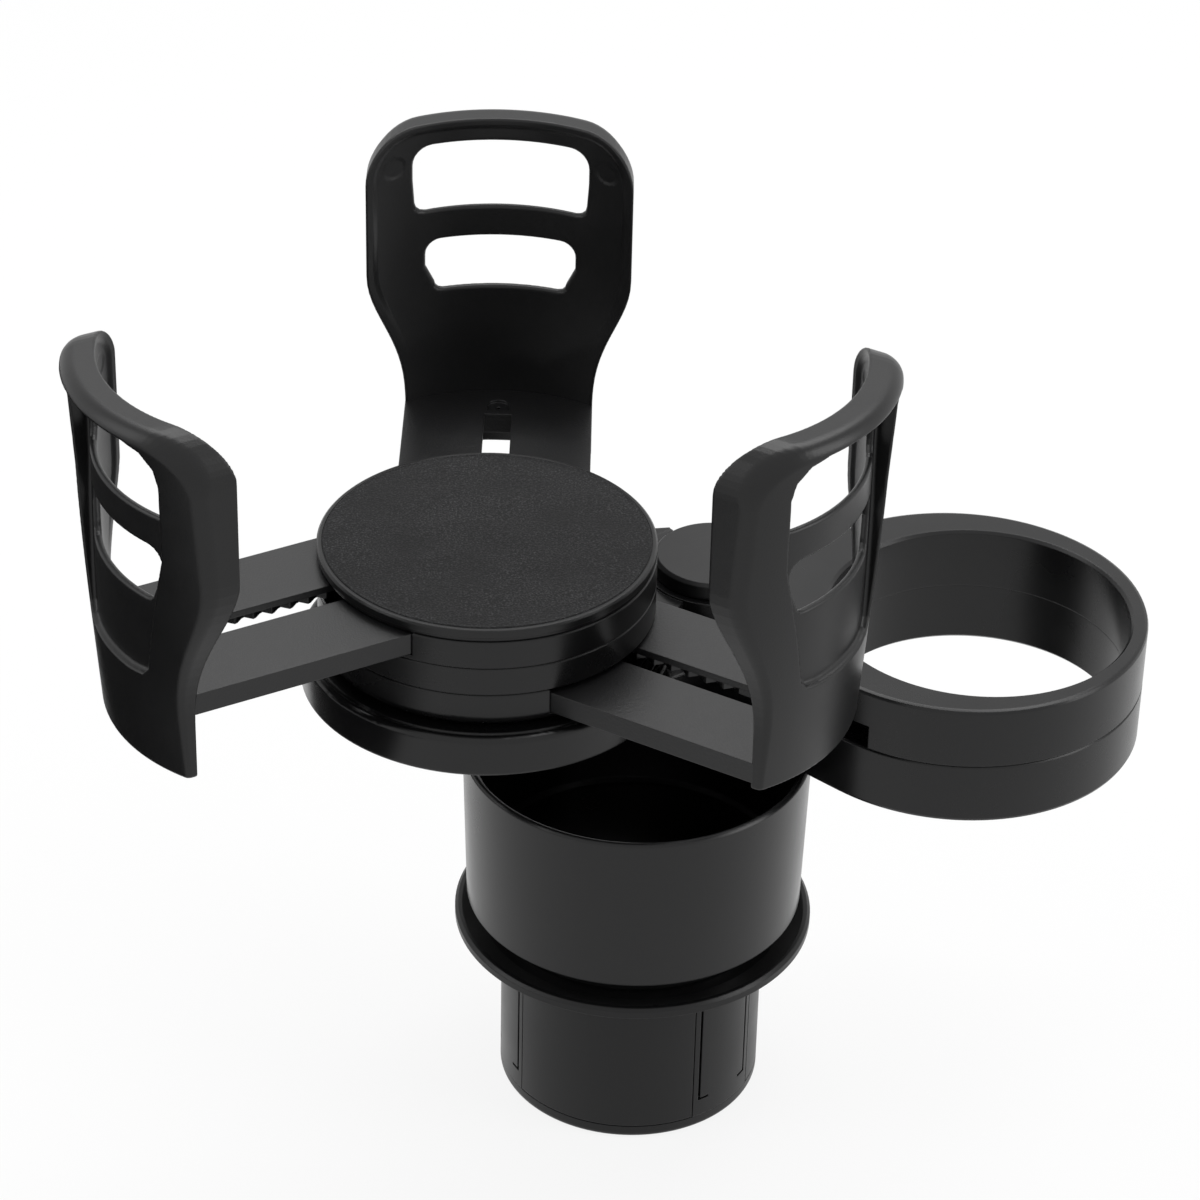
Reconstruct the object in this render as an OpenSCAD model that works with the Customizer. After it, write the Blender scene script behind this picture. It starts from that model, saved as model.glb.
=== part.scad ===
// Car cup holder: expanding base insert, main cup, swing-out ring holder and a
// turning bottle rest with three sliding grip arms. Millimetres, Z up.
// The origin is on the axis of the base insert, at its underside.

/* [Base insert] */
// Outer radius of the insert
insert_radius = 34; // [31:0.5:37]
// Height from the underside to the lower face of the collar plate
insert_height = 47; // [42:0.5:52]
// Wall of the insert
insert_wall = 2.6; // [2:0.1:3.2]
// Thickness of the bottom cover
bottom_thickness = 3.6; // [2.8:0.1:5]
// Rounding of the lower edge
foot_rounding = 1.6; // [0.8:0.1:2.2]
// Outer radius of the collar
collar_radius = 46.2; // [43:0.1:50]
// Height of the collar above its plate's lower face
collar_height = 4.4; // [3.6:0.1:6]
// Depth of the dish in the collar
collar_dish = 1.8; // [0.8:0.1:2.2]
// Radius at which the dish meets the bearing land
collar_land_radius = 39.4; // [37:0.1:41]
// Distance of the bottom screws inside the insert's outer face
bottom_screw_inset = 6.4; // [5.6:0.1:8]

/* [Grip shoes] */
// Width of one shoe as an angle
shoe_angle = 84; // [70:1:88]
// Direction of the first shoe
shoe_direction = 257.4; // [240:0.1:270]
// Height of a shoe
shoe_height = 40.4; // [34:0.2:41]
// Thickness of a shoe
shoe_thickness = 2.2; // [1.8:0.1:2.6]
// Distance that each shoe moves outwards
shoe_travel = 3.5; // [2:0.1:4]
// Width of the rib behind a shoe
rib_width = 6; // [4:0.5:8]
// Width of the relief slits beside the shoes
slit_width = 0.7; // [0.4:0.1:1.2]
// Angle from the edge of a shoe to its slit
slit_offset = 3.5; // [3:0.1:5]
// Length of the hook at the lower end of a slit
slit_hook = 2.6; // [1:0.1:4]

/* [Expander cam] */
// Turn of the cup that moves the shoes over their full way
cam_turn = 60; // [45:5:70]
// Cam radius under a rib with the shoes drawn in
cam_radius = 17.6; // [16:0.1:19]
// Thickness of the cam
cam_thickness = 6; // [4:0.5:8]
// Radius of the cup's hub inside the collar
hub_radius = 11; // [9:0.5:13]

/* [Main cup] */
// Height of the cup's lower edge above the underside of the insert
cup_bottom_z = 56; // [54:0.1:58]
// Height of the cup from its lower edge to its rim
cup_height = 45; // [40:0.5:60]
// Outer radius at the lower edge
cup_bottom_radius = 43.2; // [42:0.1:46]
// Outer radius at the rim
cup_rim_radius = 44.4; // [43.5:0.1:48]
// Wall of the cup just below the rim
cup_wall = 2.8; // [2.2:0.1:3.4]
// Height of the floor's upper face above the cup's lower edge
cup_floor_rise = 5.5; // [4.5:0.1:9]
// Thickness of the floor
cup_floor = 2.6; // [2:0.1:4]
// Depth of the step inside the rim
rim_step_depth = 2.2; // [1:0.1:4]
// Radius of the neck that turns on the collar
neck_radius = 36; // [32:0.5:37]

/* [Pivot] */
// Distance of the pivot from the axis of the cup
pivot_distance = 36.3; // [34:0.1:38]
// Direction of the pivot seen from the axis of the cup
pivot_direction = 59.2; // [50:0.1:70]
// Radius of the boss in the cup
boss_radius = 12; // [10:0.1:13]
// Height of the boss
boss_height = 19.2; // [14:0.1:30]
// Radius of the bolt
bolt_radius = 4; // [3:0.1:5]
// Depth of the bolt in the boss
bolt_depth = 16; // [10:0.5:18]
// Radius of the arm ends that turn round the bolt
knuckle_radius = 17.5; // [16.5:0.1:19]
// Radius of the cap
cap_radius = 15.6; // [14:0.1:16.4]
// Height of the cap
cap_height = 4.4; // [3.6:0.1:6]

/* [Ring holder] */
// Distance of the ring from the pivot
ring_distance = 64.6; // [63:0.1:70]
// Direction of the ring seen from the pivot
ring_direction = -14.3; // [-20:0.1:-8]
// Outer radius of the ring
ring_radius = 46.9; // [45.5:0.1:47.2]
// Thinnest wall of the ring, on the side away from the pivot
ring_wall = 4.3; // [3.9:0.1:6]
// Shift of the hole away from the pivot
ring_hole_shift = 4.4; // [3:0.1:5]
// Height of the lower half
ring_lower_height = 16.3; // [12:0.1:20]
// Height of the upper half
ring_upper_height = 16.6; // [14:0.1:20]
// Chamfer along the seam of the halves
seam_chamfer = 0.4; // [0.2:0.05:0.8]
// Rounding of the upper and lower edges
ring_edge = 1; // [0.4:0.1:1.5]
// Half width of the arm of the upper half
ring_arm_half = 15.6; // [14:0.1:16]
// Wall left round the hole beside the swing slot
slot_wall = 3.3; // [2.4:0.1:4]
// Half angle of the swing slot, about the direction of the pivot
slot_half_angle = 72.5; // [66:0.5:76]

/* [Swing tray] */
// Distance of the tray from the pivot
tray_distance = 66.2; // [65:0.1:70]
// Direction of the tray seen from the pivot
tray_direction = 210.6; // [205:0.1:215]
// Radius of the round plate
tray_radius = 46.4; // [45:0.1:47]
// Thickness of the round plate
tray_thickness = 10.3; // [9:0.1:12]
// Rounding of the plate's upper edge
tray_edge = 1.4; // [0.6:0.1:2.4]
// Thickness of the leaf that reaches to the pivot
leaf_thickness = 6; // [5:0.1:7]
// Radius of the leaf round the pivot
leaf_end_radius = 22; // [21:0.1:23]
// Radius of the leaf under the plate
leaf_plate_radius = 30; // [26:0.5:34]
// First direction of the socket wall round the knuckle, seen from the pivot
socket_start = 120; // [116:1:126]
// Last direction of the socket wall round the knuckle, seen from the pivot
socket_end = 244; // [240:1:248]
// Radius of the groove in the upper face
groove_radius = 44; // [43.5:0.1:44.5]
// Radius of the turntable hub
turn_hub_radius = 9; // [7:0.1:11]

/* [Stack] */
// Radius of the stack
stack_radius = 41.9; // [41:0.1:43]
// Height of the lower layer
low_height = 9.4; // [9.2:0.1:11]
// Floor under the arm of the lower layer
low_floor = 2.5; // [2.2:0.1:2.6]
// Height of the middle layer
mid_height = 7.6; // [7.6:0.1:9]
// Height of the top layer
top_height = 7.6; // [7.6:0.1:9]
// Floor under the arms of the middle and top layers
channel_floor = 1.4; // [1.2:0.1:1.4]
// Wall round the inner end of a channel
stack_wall = 1.8; // [1.4:0.1:2.2]
// Rounding of the lower edge of the stack
stack_rounding = 3.4; // [2:0.1:4]
// Radius of the guide post in each channel
post_radius = 3.3; // [2.6:0.1:3.3]
// Guide post from the axis of the stack
post_offset = 21; // [20.6:0.1:21.4]
// Plate of the cover under the pad
cover_plate = 1.1; // [1:0.1:2]
// Height of the cover's lip above the pad
cover_lip = 1; // [0.6:0.1:1.6]
// Width of the lip round the pad
lip_width = 1.3; // [1:0.1:2]
// Thickness of the foam pad
pad_thickness = 1.2; // [1:0.1:2.4]

/* [Grip arms] */
// Half width of an arm
arm_half = 24.7; // [24:0.1:25]
// Thickness of an arm
arm_thickness = 5.6; // [5:0.1:5.6]
// Inner end of an arm from the axis of the stack
arm_inner_end = 8.8; // [8:0.1:10]
// Inner end of the slot from the axis of the stack
slot_inner_end = 13; // [12.6:0.1:13.4]
// Outer end of the slot from the axis of the stack
slot_outer_end = 71; // [70.8:0.1:74]
// Half width of the slot in the top skin
slot_half = 3.6; // [3.5:0.1:4.4]
// Thickness of the top skin over the racks
skin_thickness = 1.8; // [1.4:0.1:2.4]
// Half distance between the crests of the two racks
rack_crest = 6.4; // [5.6:0.1:7]
// Height of a rack tooth
rack_depth = 1.8; // [1:0.1:2.4]
// Pitch of the racks
rack_pitch = 4.9; // [3.6:0.1:7]
// Distance that an arm can be pushed in
arm_travel_in = 46; // [30:1:46]
// Place of the left arm, further out than the middle one of its travel
left_shift = 1.4; // [-20:0.1:4]
// Place of the back arm
back_shift = -2.7; // [-20:0.1:4]
// Place of the right arm
right_shift = 0; // [-20:0.1:4]

/* [Paddles] */
// Inner radius of a paddle
paddle_radius = 44.4; // [43:0.1:47]
// Distance of the inner face from the axis of the stack
paddle_face = 95.8; // [95:0.1:99]
// Height of a paddle
paddle_height = 95.2; // [90:0.1:115]
// Half width of the head
head_half = 34.1; // [31:0.1:36]
// Outer radius of a paddle
paddle_outer_radius = 49.4; // [47.5:0.1:50]
// Thickness of a paddle at the middle of its underside
paddle_foot = 1.9; // [1.6:0.1:3]
// Outward lean of the outer face over the height
paddle_lean = 6.9; // [5:0.1:8]
// Thickness of the plate round the windows
paddle_wall = 2.3; // [2:0.1:2.8]
// Radius of the upper corners
corner_radius = 12.5; // [8:0.5:16]
// Height at which the stem begins to widen
stem_height = 16; // [12:0.2:24]
// Height over which the stem widens
flare_height = 33; // [22:0.5:36]
// Underside of the paddles above the upper face of the tray
paddle_clearance = 1.4; // [0.8:0.1:1.6]

/* [Fits] */
// Gap between faces that slide or turn on each other
slide_gap = 0.3; // [0.2:0.05:0.35]
// Radial clearance of a pin in its bore
pin_gap = 0.06; // [0.02:0.01:0.1]
// Radius of a screw's shank
screw_radius = 1.25; // [1:0.05:1.4]
// Radius of a countersunk screw's head
screw_head_radius = 2.2; // [2:0.1:2.6]
// Depth of a web's straight sides inside the round ends that they join
web_inset = 0.2; // [0.1:0.05:0.4]
// Step between faces of one moulding that would otherwise lie in one plane
seam_step = 0.15; // [0.1:0.05:0.2]

/* [Hidden] */
$fn = 96;
eps = 0.01;

right_direction = -30;
back_direction = 90;
left_direction = 210;
collar_top_z = insert_height + collar_height;
land_z = collar_top_z - collar_dish;
neck_z = land_z + slide_gap;
cam_top_z = insert_height - slide_gap;
cam_z = cam_top_z - cam_thickness;
cam_rise = shoe_travel / cam_turn;
bottom_screw_circle = insert_radius - bottom_screw_inset;
rib_tip = cam_radius + slide_gap;
guide_start = rib_tip + 5 + shoe_travel + slide_gap;
cup_rim_z = cup_bottom_z + cup_height;
cup_floor_z = cup_bottom_z + cup_floor_rise;
cup_mouth_radius = cup_rim_radius - cup_wall;
cup_floor_radius = cup_bottom_radius - cup_wall - 0.2;
pivot_x = pivot_distance * cos(pivot_direction);
pivot_y = pivot_distance * sin(pivot_direction);
boss_top_z = cup_rim_z + 0.2;
ring_z = boss_top_z + slide_gap;
seam_z = ring_z + ring_lower_height;
ring_top_z = seam_z + ring_upper_height;
ring_x = pivot_x + ring_distance * cos(ring_direction);
ring_y = pivot_y + ring_distance * sin(ring_direction);
ring_hole_radius = ring_radius - ring_hole_shift - ring_wall;
hole_x = ring_x + ring_hole_shift * cos(ring_direction);
hole_y = ring_y + ring_hole_shift * sin(ring_direction);
leaf_z = seam_z + slide_gap;
plate_z = leaf_z + leaf_thickness;
knuckle_z = plate_z + slide_gap;
tray_top_z = plate_z + tray_thickness;
cap_z = ring_top_z + slide_gap;
tray_x = pivot_x + tray_distance * cos(tray_direction);
tray_y = pivot_y + tray_distance * sin(tray_direction);
retainer_top_z = plate_z + 2.7;
low_z = tray_top_z + slide_gap;
mid_z = low_z + low_height;
top_z = mid_z + mid_height;
cover_z = top_z + top_height;
cover_top_z = cover_z + cover_plate + pad_thickness + cover_lip;
low_arm_z = low_z + low_floor + slide_gap;
mid_arm_z = mid_z + channel_floor + slide_gap;
top_arm_z = top_z + channel_floor + slide_gap;
channel_half = arm_half + slide_gap;
lobe_radius = (channel_half + stack_radius - stack_wall) / 2 - 0.5;
paddle_z = tray_top_z + paddle_clearance;
paddle_axis = paddle_face - paddle_radius;
outer_axis = paddle_face + paddle_foot - paddle_outer_radius;

// Fasteners

module countersunk_screw(length) {
    translate([0, 0, -length])
        cylinder(r = screw_radius, h = length - 1);
    translate([0, 0, -1])
        cylinder(r1 = screw_radius, r2 = screw_head_radius, h = 1);
}

module countersunk_hole(length) {
    translate([0, 0, -length - slide_gap])
        cylinder(r = screw_radius + pin_gap, h = length + slide_gap - 1 + eps);
    translate([0, 0, -1])
        cylinder(r1 = screw_radius + pin_gap, r2 = screw_head_radius + pin_gap, h = 1 + eps);
}

// Sector of a tube, centred on the X axis

module sector(inner, outer, half_angle, height) {
    reach = outer * 1.5;
    difference() {
        intersection() {
            cylinder(r = outer, h = height);
            linear_extrude(height)
                polygon([[0, 0], [reach * cos(half_angle), -reach * sin(half_angle)],
                         [reach * 1.5, 0], [reach * cos(half_angle), reach * sin(half_angle)]]);
        }
        translate([0, 0, -1])
            cylinder(r = inner, h = height + 2);
    }
}

// Base insert

module insert_profile() {
    inner = insert_radius - insert_wall;
    hub_hole = hub_radius + slide_gap;
    polygon([[inner, bottom_thickness], [insert_radius, bottom_thickness], [insert_radius, insert_height],
             [collar_radius - 1.2, insert_height + 0.8], [collar_radius, insert_height + 1.8],
             [collar_radius, collar_top_z - 0.8], [collar_radius - 0.8, collar_top_z],
             [collar_radius - 1.8, collar_top_z], [collar_land_radius, land_z], [hub_hole, land_z],
             [hub_hole, insert_height], [inner, insert_height]]);
}

module slit(side) {
    low = bottom_thickness + 5;
    rotate([0, 0, side * (shoe_angle / 2 + slit_offset)])
        translate([insert_radius - 1.2, -slit_width / 2, low])
            cube([2, slit_width, insert_height - low - 2]);
    rotate([0, 0, side * (shoe_angle / 2 + slit_offset + asin(slit_hook / 2 / insert_radius))])
        translate([insert_radius - 1.2, -slit_hook / 2 - slit_width / 2, low])
            cube([2, slit_hook + slit_width, slit_width]);
}

module screw_post() {
    rotate([0, 0, 60])
        translate([bottom_screw_circle, 0, bottom_thickness + seam_step])
            difference() {
                cylinder(r = 4.2, h = 16);
                translate([0, 0, -1])
                    cylinder(r = screw_radius + pin_gap, h = 12);
            }
}

module base_shell() {
    color("#1c1c1e")
    difference() {
        union() {
            rotate_extrude()
                insert_profile();
            for (i = [0:2])
                rotate([0, 0, shoe_direction + 120 * i])
                    screw_post();
        }
        for (i = [0:2])
            rotate([0, 0, shoe_direction + 120 * i]) {
                translate([0, 0, bottom_thickness - 1])
                    sector(insert_radius - insert_wall - 1, insert_radius + 1, shoe_angle / 2 + 0.5,
                           1 + shoe_height + 2 * slide_gap);
                slit(-1);
                slit(1);
            }
        translate([5.9, -43.7, collar_top_z - 0.3])
            cylinder(r = 0.8, h = 1);
    }
}

module rib_guides() {
    far_side = rib_width / 2 + slide_gap + 1.6;
    end = sqrt(pow(insert_radius - shoe_thickness - slide_gap, 2) - pow(far_side, 2));
    for (side = [-1, 1])
        translate([guide_start, side * (far_side - 0.8) - 0.8, bottom_thickness - 0.4])
            cube([end - guide_start, 1.6, 24]);
}

module bottom_cover() {
    color("#1c1c1e")
    difference() {
        union() {
            rotate_extrude() {
                polygon([[0, 0], [insert_radius - foot_rounding, 0], [insert_radius - foot_rounding, foot_rounding],
                         [insert_radius, foot_rounding], [insert_radius, bottom_thickness], [0, bottom_thickness]]);
                translate([insert_radius - foot_rounding, foot_rounding])
                    circle(r = foot_rounding);
            }
            for (i = [0:2])
                rotate([0, 0, shoe_direction + 120 * i])
                    rib_guides();
        }
        for (i = [0:2])
            rotate([0, 0, shoe_direction + 60 + 120 * i])
                translate([bottom_screw_circle, 0, 0])
                    mirror([0, 0, 1])
                        countersunk_hole(bottom_thickness + 1);
    }
}

module bottom_screws() {
    color("#8d9094")
    for (i = [0:2])
        rotate([0, 0, shoe_direction + 60 + 120 * i])
            translate([bottom_screw_circle, 0, 0])
                mirror([0, 0, 1])
                    countersunk_screw(12);
}

module grip_shoe(index) {
    low = bottom_thickness + slide_gap;
    heel = 5;
    color("#202022")
    rotate([0, 0, shoe_direction + 120 * index]) {
        translate([0, 0, low])
            sector(insert_radius - shoe_thickness, insert_radius, shoe_angle / 2, shoe_height);
        translate([rib_tip + 3, -rib_width / 2, low])
            cube([insert_radius - shoe_thickness / 2 - rib_tip - 3, rib_width, 22]);
        translate([rib_tip + 3, 0, low])
            cylinder(r = 3, h = cam_top_z - low);
        translate([rib_tip + heel - 2.6, -rib_width, low])
            cube([2.6, 2 * rib_width, 22]);
    }
}

// Expander cam: each of its three lobes climbs evenly over the turn of the cup

module cam_outline() {
    steps = 10;
    polygon([for (lobe = [0:2], k = [0:steps])
        let (turn = k * (cam_turn + 16) / steps - 8,
             angle = shoe_direction - 120 * lobe - turn)
        (cam_radius + cam_rise * min(turn, cam_turn + 4)) * [cos(angle), sin(angle)]]);
}

module expander_cam() {
    color("#2b2b2e")
    difference() {
        translate([0, 0, cam_z])
            linear_extrude(cam_thickness)
                cam_outline();
        translate([0, 0, cam_z - 1])
            cylinder(r = 2.3 + pin_gap, h = cam_thickness + 2);
        translate([0, 0, cam_z - 1])
            cylinder(r = 4.6 + slide_gap, h = 3.4);
    }
}

module cam_screw() {
    color("#8d9094")
    translate([0, 0, cam_z]) {
        cylinder(r = 4.6, h = 2.4);
        cylinder(r = 2.3, h = cam_thickness + 8);
    }
}

// Main cup

module cup_profile() {
    step_z = cup_rim_z - rim_step_depth;
    step_radius = cup_rim_radius - 1.6;
    polygon([[0, cam_top_z], [hub_radius, cam_top_z], [hub_radius, neck_z], [neck_radius, neck_z],
             [neck_radius, cup_bottom_z + 0.4], [cup_bottom_radius - 0.9, cup_bottom_z],
             [cup_bottom_radius, cup_bottom_z + 0.9], [cup_rim_radius, cup_rim_z - 0.6],
             [cup_rim_radius - 0.5, cup_rim_z], [step_radius + 0.2, cup_rim_z], [step_radius, step_z + 0.6],
             [cup_mouth_radius, step_z], [cup_floor_radius, cup_floor_z + 1.2],
             [cup_floor_radius - 1.2, cup_floor_z], [0, cup_floor_z]]);
}

module cup_hollow() {
    under_z = cup_floor_z - cup_floor;
    difference() {
        translate([0, 0, neck_z - 1])
            cylinder(r = neck_radius - 2.4, h = under_z - neck_z + 1);
        translate([0, 0, neck_z - 2])
            cylinder(r = hub_radius, h = under_z - neck_z + 3);
        for (a = [0:60:300])
            rotate([0, 0, a])
                translate([0, -0.9, neck_z - 2])
                    cube([neck_radius, 1.8, under_z - neck_z + 3]);
    }
}

module main_cup() {
    color("#19191b")
    difference() {
        union() {
            rotate_extrude()
                cup_profile();
            translate([pivot_x, pivot_y, boss_top_z - boss_height])
                cylinder(r = boss_radius, h = boss_height);
        }
        cup_hollow();
        translate([pivot_x, pivot_y, boss_top_z - bolt_depth - slide_gap])
            cylinder(r = bolt_radius + pin_gap, h = bolt_depth + 1);
        translate([0, 0, cam_top_z - 1])
            cylinder(r = 2.3 + pin_gap, h = 10);
    }
}

// Pivot

module pivot_bolt() {
    color("#9a9da2")
    translate([pivot_x, pivot_y, 0]) {
        translate([0, 0, boss_top_z - bolt_depth])
            cylinder(r = bolt_radius, h = cap_z + 1 - boss_top_z + bolt_depth);
        translate([0, 0, cap_z])
            cylinder(r = bolt_radius + 3, h = 2.2);
    }
}

module pivot_cap() {
    color("#1b1b1d")
    translate([pivot_x, pivot_y, cap_z])
        rotate_extrude()
            polygon([[bolt_radius + 3.1, 0], [cap_radius, 0], [cap_radius, cap_height - 0.9],
                     [cap_radius - 0.9, cap_height], [0, cap_height], [0, 2.2], [bolt_radius + 3.1, 2.2]]);
}

// Ring holder

module ring_body(height) {
    translate([ring_x, ring_y, 0])
        rotate_extrude()
            polygon([[0, 0], [ring_radius - seam_chamfer, 0], [ring_radius, seam_chamfer],
                     [ring_radius, height - ring_edge], [ring_radius - 0.3 * ring_edge, height - 0.3 * ring_edge],
                     [ring_radius - ring_edge, height], [0, height]]);
}

module tangent_web(far, big_end, small_end, height) {
    big = big_end - web_inset;
    small = small_end - web_inset;
    lean = asin((big - small) / far);
    linear_extrude(height)
        polygon([small * [-sin(lean), cos(lean)], [far, 0] + big * [-sin(lean), cos(lean)],
                 [far, 0] + big * [-sin(lean), -cos(lean)], small * [-sin(lean), -cos(lean)]]);
}

module drink_hole() {
    translate([hole_x, hole_y, ring_z - 1])
        cylinder(r = ring_hole_radius, h = ring_top_z - ring_z + 2);
}

module ring_screw_places() {
    for (side = [-1, 1])
        translate([ring_x, ring_y, ring_z])
            rotate([0, 0, ring_direction + side * 84])
                translate([(ring_radius + ring_hole_radius) / 2, 0, 0])
                    mirror([0, 0, 1])
                        children();
}

module ring_lower() {
    web = ring_radius - seam_chamfer;
    color("#1b1b1d")
    difference() {
        union() {
            translate([0, 0, seam_z])
                mirror([0, 0, 1])
                    ring_body(ring_lower_height);
            translate([pivot_x, pivot_y, ring_z])
                rotate([0, 0, ring_direction]) {
                    tangent_web(ring_distance, web, knuckle_radius, ring_lower_height - seam_step);
                    cylinder(r = knuckle_radius, h = ring_lower_height);
                }
        }
        drink_hole();
        translate([hole_x, hole_y, ring_z - eps])
            cylinder(r1 = ring_hole_radius + 0.8, r2 = ring_hole_radius, h = 0.8);
        translate([pivot_x, pivot_y, ring_z - 1])
            cylinder(r = bolt_radius + pin_gap, h = ring_lower_height + 2);
        ring_screw_places()
            countersunk_hole(ring_lower_height + 1);
    }
}

module swing_slot() {
    translate([ring_x, ring_y, seam_z - 1])
        rotate([0, 0, ring_direction + 180])
            sector(1, ring_radius + 3, slot_half_angle, knuckle_z + seam_step - seam_z + 1);
}

module ring_upper() {
    color("#1b1b1d")
    difference() {
        union() {
            difference() {
                translate([0, 0, seam_z])
                    ring_body(ring_upper_height);
                difference() {
                    swing_slot();
                    translate([hole_x, hole_y, seam_z - 2])
                        cylinder(r = ring_hole_radius + slot_wall, h = ring_upper_height);
                }
            }
            translate([pivot_x, pivot_y, knuckle_z])
                rotate([0, 0, ring_direction]) {
                    cylinder(r = knuckle_radius, h = ring_top_z - knuckle_z);
                    translate([0, -ring_arm_half, 0])
                        cube([ring_distance - ring_radius + 6, 2 * ring_arm_half, ring_top_z - knuckle_z]);
                }
        }
        drink_hole();
        translate([hole_x, hole_y, ring_top_z - 0.8 + eps])
            cylinder(r1 = ring_hole_radius, r2 = ring_hole_radius + 0.8, h = 0.8);
        translate([pivot_x, pivot_y, seam_z - 1])
            cylinder(r = bolt_radius + pin_gap, h = ring_upper_height + 2);
        for (side = [-1, 1])
            translate([ring_x, ring_y, seam_z - 1])
                rotate([0, 0, ring_direction + side * 84])
                    translate([(ring_radius + ring_hole_radius) / 2, 0, 0])
                        cylinder(r = screw_radius + pin_gap, h = 9);
    }
}

module ring_screws() {
    color("#8d9094")
    ring_screw_places()
        countersunk_screw(ring_lower_height + 7);
}

// Swing tray

module tray_plate() {
    rotate_extrude() {
        polygon([[0, -2 * seam_step], [tray_radius - 0.5, -2 * seam_step], [tray_radius, 0.5 - 2 * seam_step],
                 [tray_radius, tray_thickness - tray_edge],
                 [tray_radius - tray_edge, tray_thickness - tray_edge], [tray_radius - tray_edge, tray_thickness],
                 [0, tray_thickness]]);
        translate([tray_radius - tray_edge, tray_thickness - tray_edge])
            circle(r = tray_edge);
    }
}

module socket_block() {
    reach = tray_distance * 1.2;
    intersection() {
        translate([pivot_x, pivot_y, plate_z - 2 * seam_step])
            union() {
                rotate([0, 0, tray_direction])
                    tangent_web(tray_distance, tray_radius - 1, leaf_end_radius - 0.4, tray_thickness + seam_step);
                cylinder(r = leaf_end_radius - 0.4, h = tray_thickness + 2 * seam_step);
            }
        translate([pivot_x, pivot_y, plate_z - 1])
            linear_extrude(tray_thickness + 2)
                polygon([[0, 0], [reach * cos(socket_start), reach * sin(socket_start)],
                         reach * 2 * [cos(tray_direction - 40), sin(tray_direction - 40)],
                         reach * 2 * [cos(tray_direction), sin(tray_direction)],
                         [reach * cos(socket_end), reach * sin(socket_end)]]);
    }
}

module swing_tray() {
    color("#1d1d1f")
    difference() {
        union() {
            translate([tray_x, tray_y, plate_z])
                tray_plate();
            socket_block();
            translate([pivot_x, pivot_y, leaf_z])
                cylinder(r = leaf_end_radius, h = leaf_thickness);
            translate([pivot_x, pivot_y, leaf_z])
                rotate([0, 0, tray_direction])
                    tangent_web(tray_distance, leaf_plate_radius, leaf_end_radius, leaf_thickness - seam_step);
            translate([tray_x, tray_y, leaf_z])
                cylinder(r = leaf_plate_radius, h = leaf_thickness - seam_step);
        }
        translate([pivot_x, pivot_y, plate_z - seam_step])
            cylinder(r = knuckle_radius + 0.5, h = tray_thickness + 1);
        translate([pivot_x, pivot_y, leaf_z - 1])
            cylinder(r = bolt_radius + pin_gap, h = leaf_thickness + 2);
        translate([tray_x, tray_y, leaf_z - 1])
            cylinder(r = turn_hub_radius + pin_gap, h = tray_top_z - leaf_z + 2);
        translate([tray_x, tray_y, leaf_z - 1])
            cylinder(r = turn_hub_radius + 4, h = retainer_top_z - leaf_z + 1);
        translate([tray_x, tray_y, tray_top_z - 0.4])
            difference() {
                cylinder(r = groove_radius + 0.4, h = 1);
                translate([0, 0, -1])
                    cylinder(r = groove_radius - 0.4, h = 3);
            }
    }
}

module turntable_retainer() {
    color("#8d9094")
    translate([tray_x, tray_y, retainer_top_z - slide_gap - 2])
        difference() {
            cylinder(r = turn_hub_radius + 3.4, h = 2);
            translate([0, 0, -1])
                cylinder(r = 2 + pin_gap, h = 4);
        }
}

module turntable_screw() {
    color("#9a9da2")
    translate([tray_x, tray_y, retainer_top_z - slide_gap - 2]) {
        translate([0, 0, -2])
            cylinder(r = 4, h = 2);
        cylinder(r = 2, h = 10);
    }
}

// Stack of three layers, each with a channel for one arm

module channel(direction, from, to) {
    rotate([0, 0, direction])
        intersection() {
            translate([-stack_radius, -channel_half, from])
                cube([2 * stack_radius + 2, 2 * channel_half, to - from]);
            union() {
                translate([0, 0, from - 1])
                    cylinder(r = stack_radius - stack_wall, h = to - from + 2);
                translate([0, -stack_radius, from - 1])
                    cube([stack_radius + 2, 2 * stack_radius, to - from + 2]);
            }
        }
}

module guide_post(direction, from, to) {
    rotate([0, 0, direction])
        translate([post_offset, 0, from])
            cylinder(r = post_radius, h = to - from);
}

module lobe_places(direction, z) {
    for (side = [-1, 1])
        rotate([0, 0, direction])
            translate([0, side * lobe_radius, z])
                children();
}

module stack_low() {
    color("#1e1e20")
    translate([tray_x, tray_y, 0])
        difference() {
            union() {
                difference() {
                    translate([0, 0, low_z])
                        rotate_extrude() {
                            polygon([[0, 0], [stack_radius - stack_rounding, 0],
                                     [stack_radius - stack_rounding, stack_rounding],
                                     [stack_radius, stack_rounding], [stack_radius, low_height - 0.3],
                                     [stack_radius - 0.3, low_height], [0, low_height]]);
                            translate([stack_radius - stack_rounding, stack_rounding])
                                circle(r = stack_rounding);
                        }
                    channel(right_direction, low_z + low_floor, mid_z + 1);
                }
                guide_post(right_direction, low_z + low_floor - 0.5, mid_z - slide_gap);
                translate([0, 0, retainer_top_z - slide_gap])
                    cylinder(r = turn_hub_radius, h = low_z - retainer_top_z + slide_gap + 1);
            }
            translate([0, 0, retainer_top_z - slide_gap - 1])
                cylinder(r = 2 + pin_gap, h = 9.2);
            lobe_places(right_direction, mid_z - 7)
                cylinder(r = screw_radius + pin_gap, h = 8);
        }
}

module layer_wall(height) {
    rotate_extrude()
        polygon([[0, 0], [stack_radius - 0.3, 0], [stack_radius, 0.3], [stack_radius, height - 0.3],
                 [stack_radius - 0.3, height], [0, height]]);
}

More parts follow.
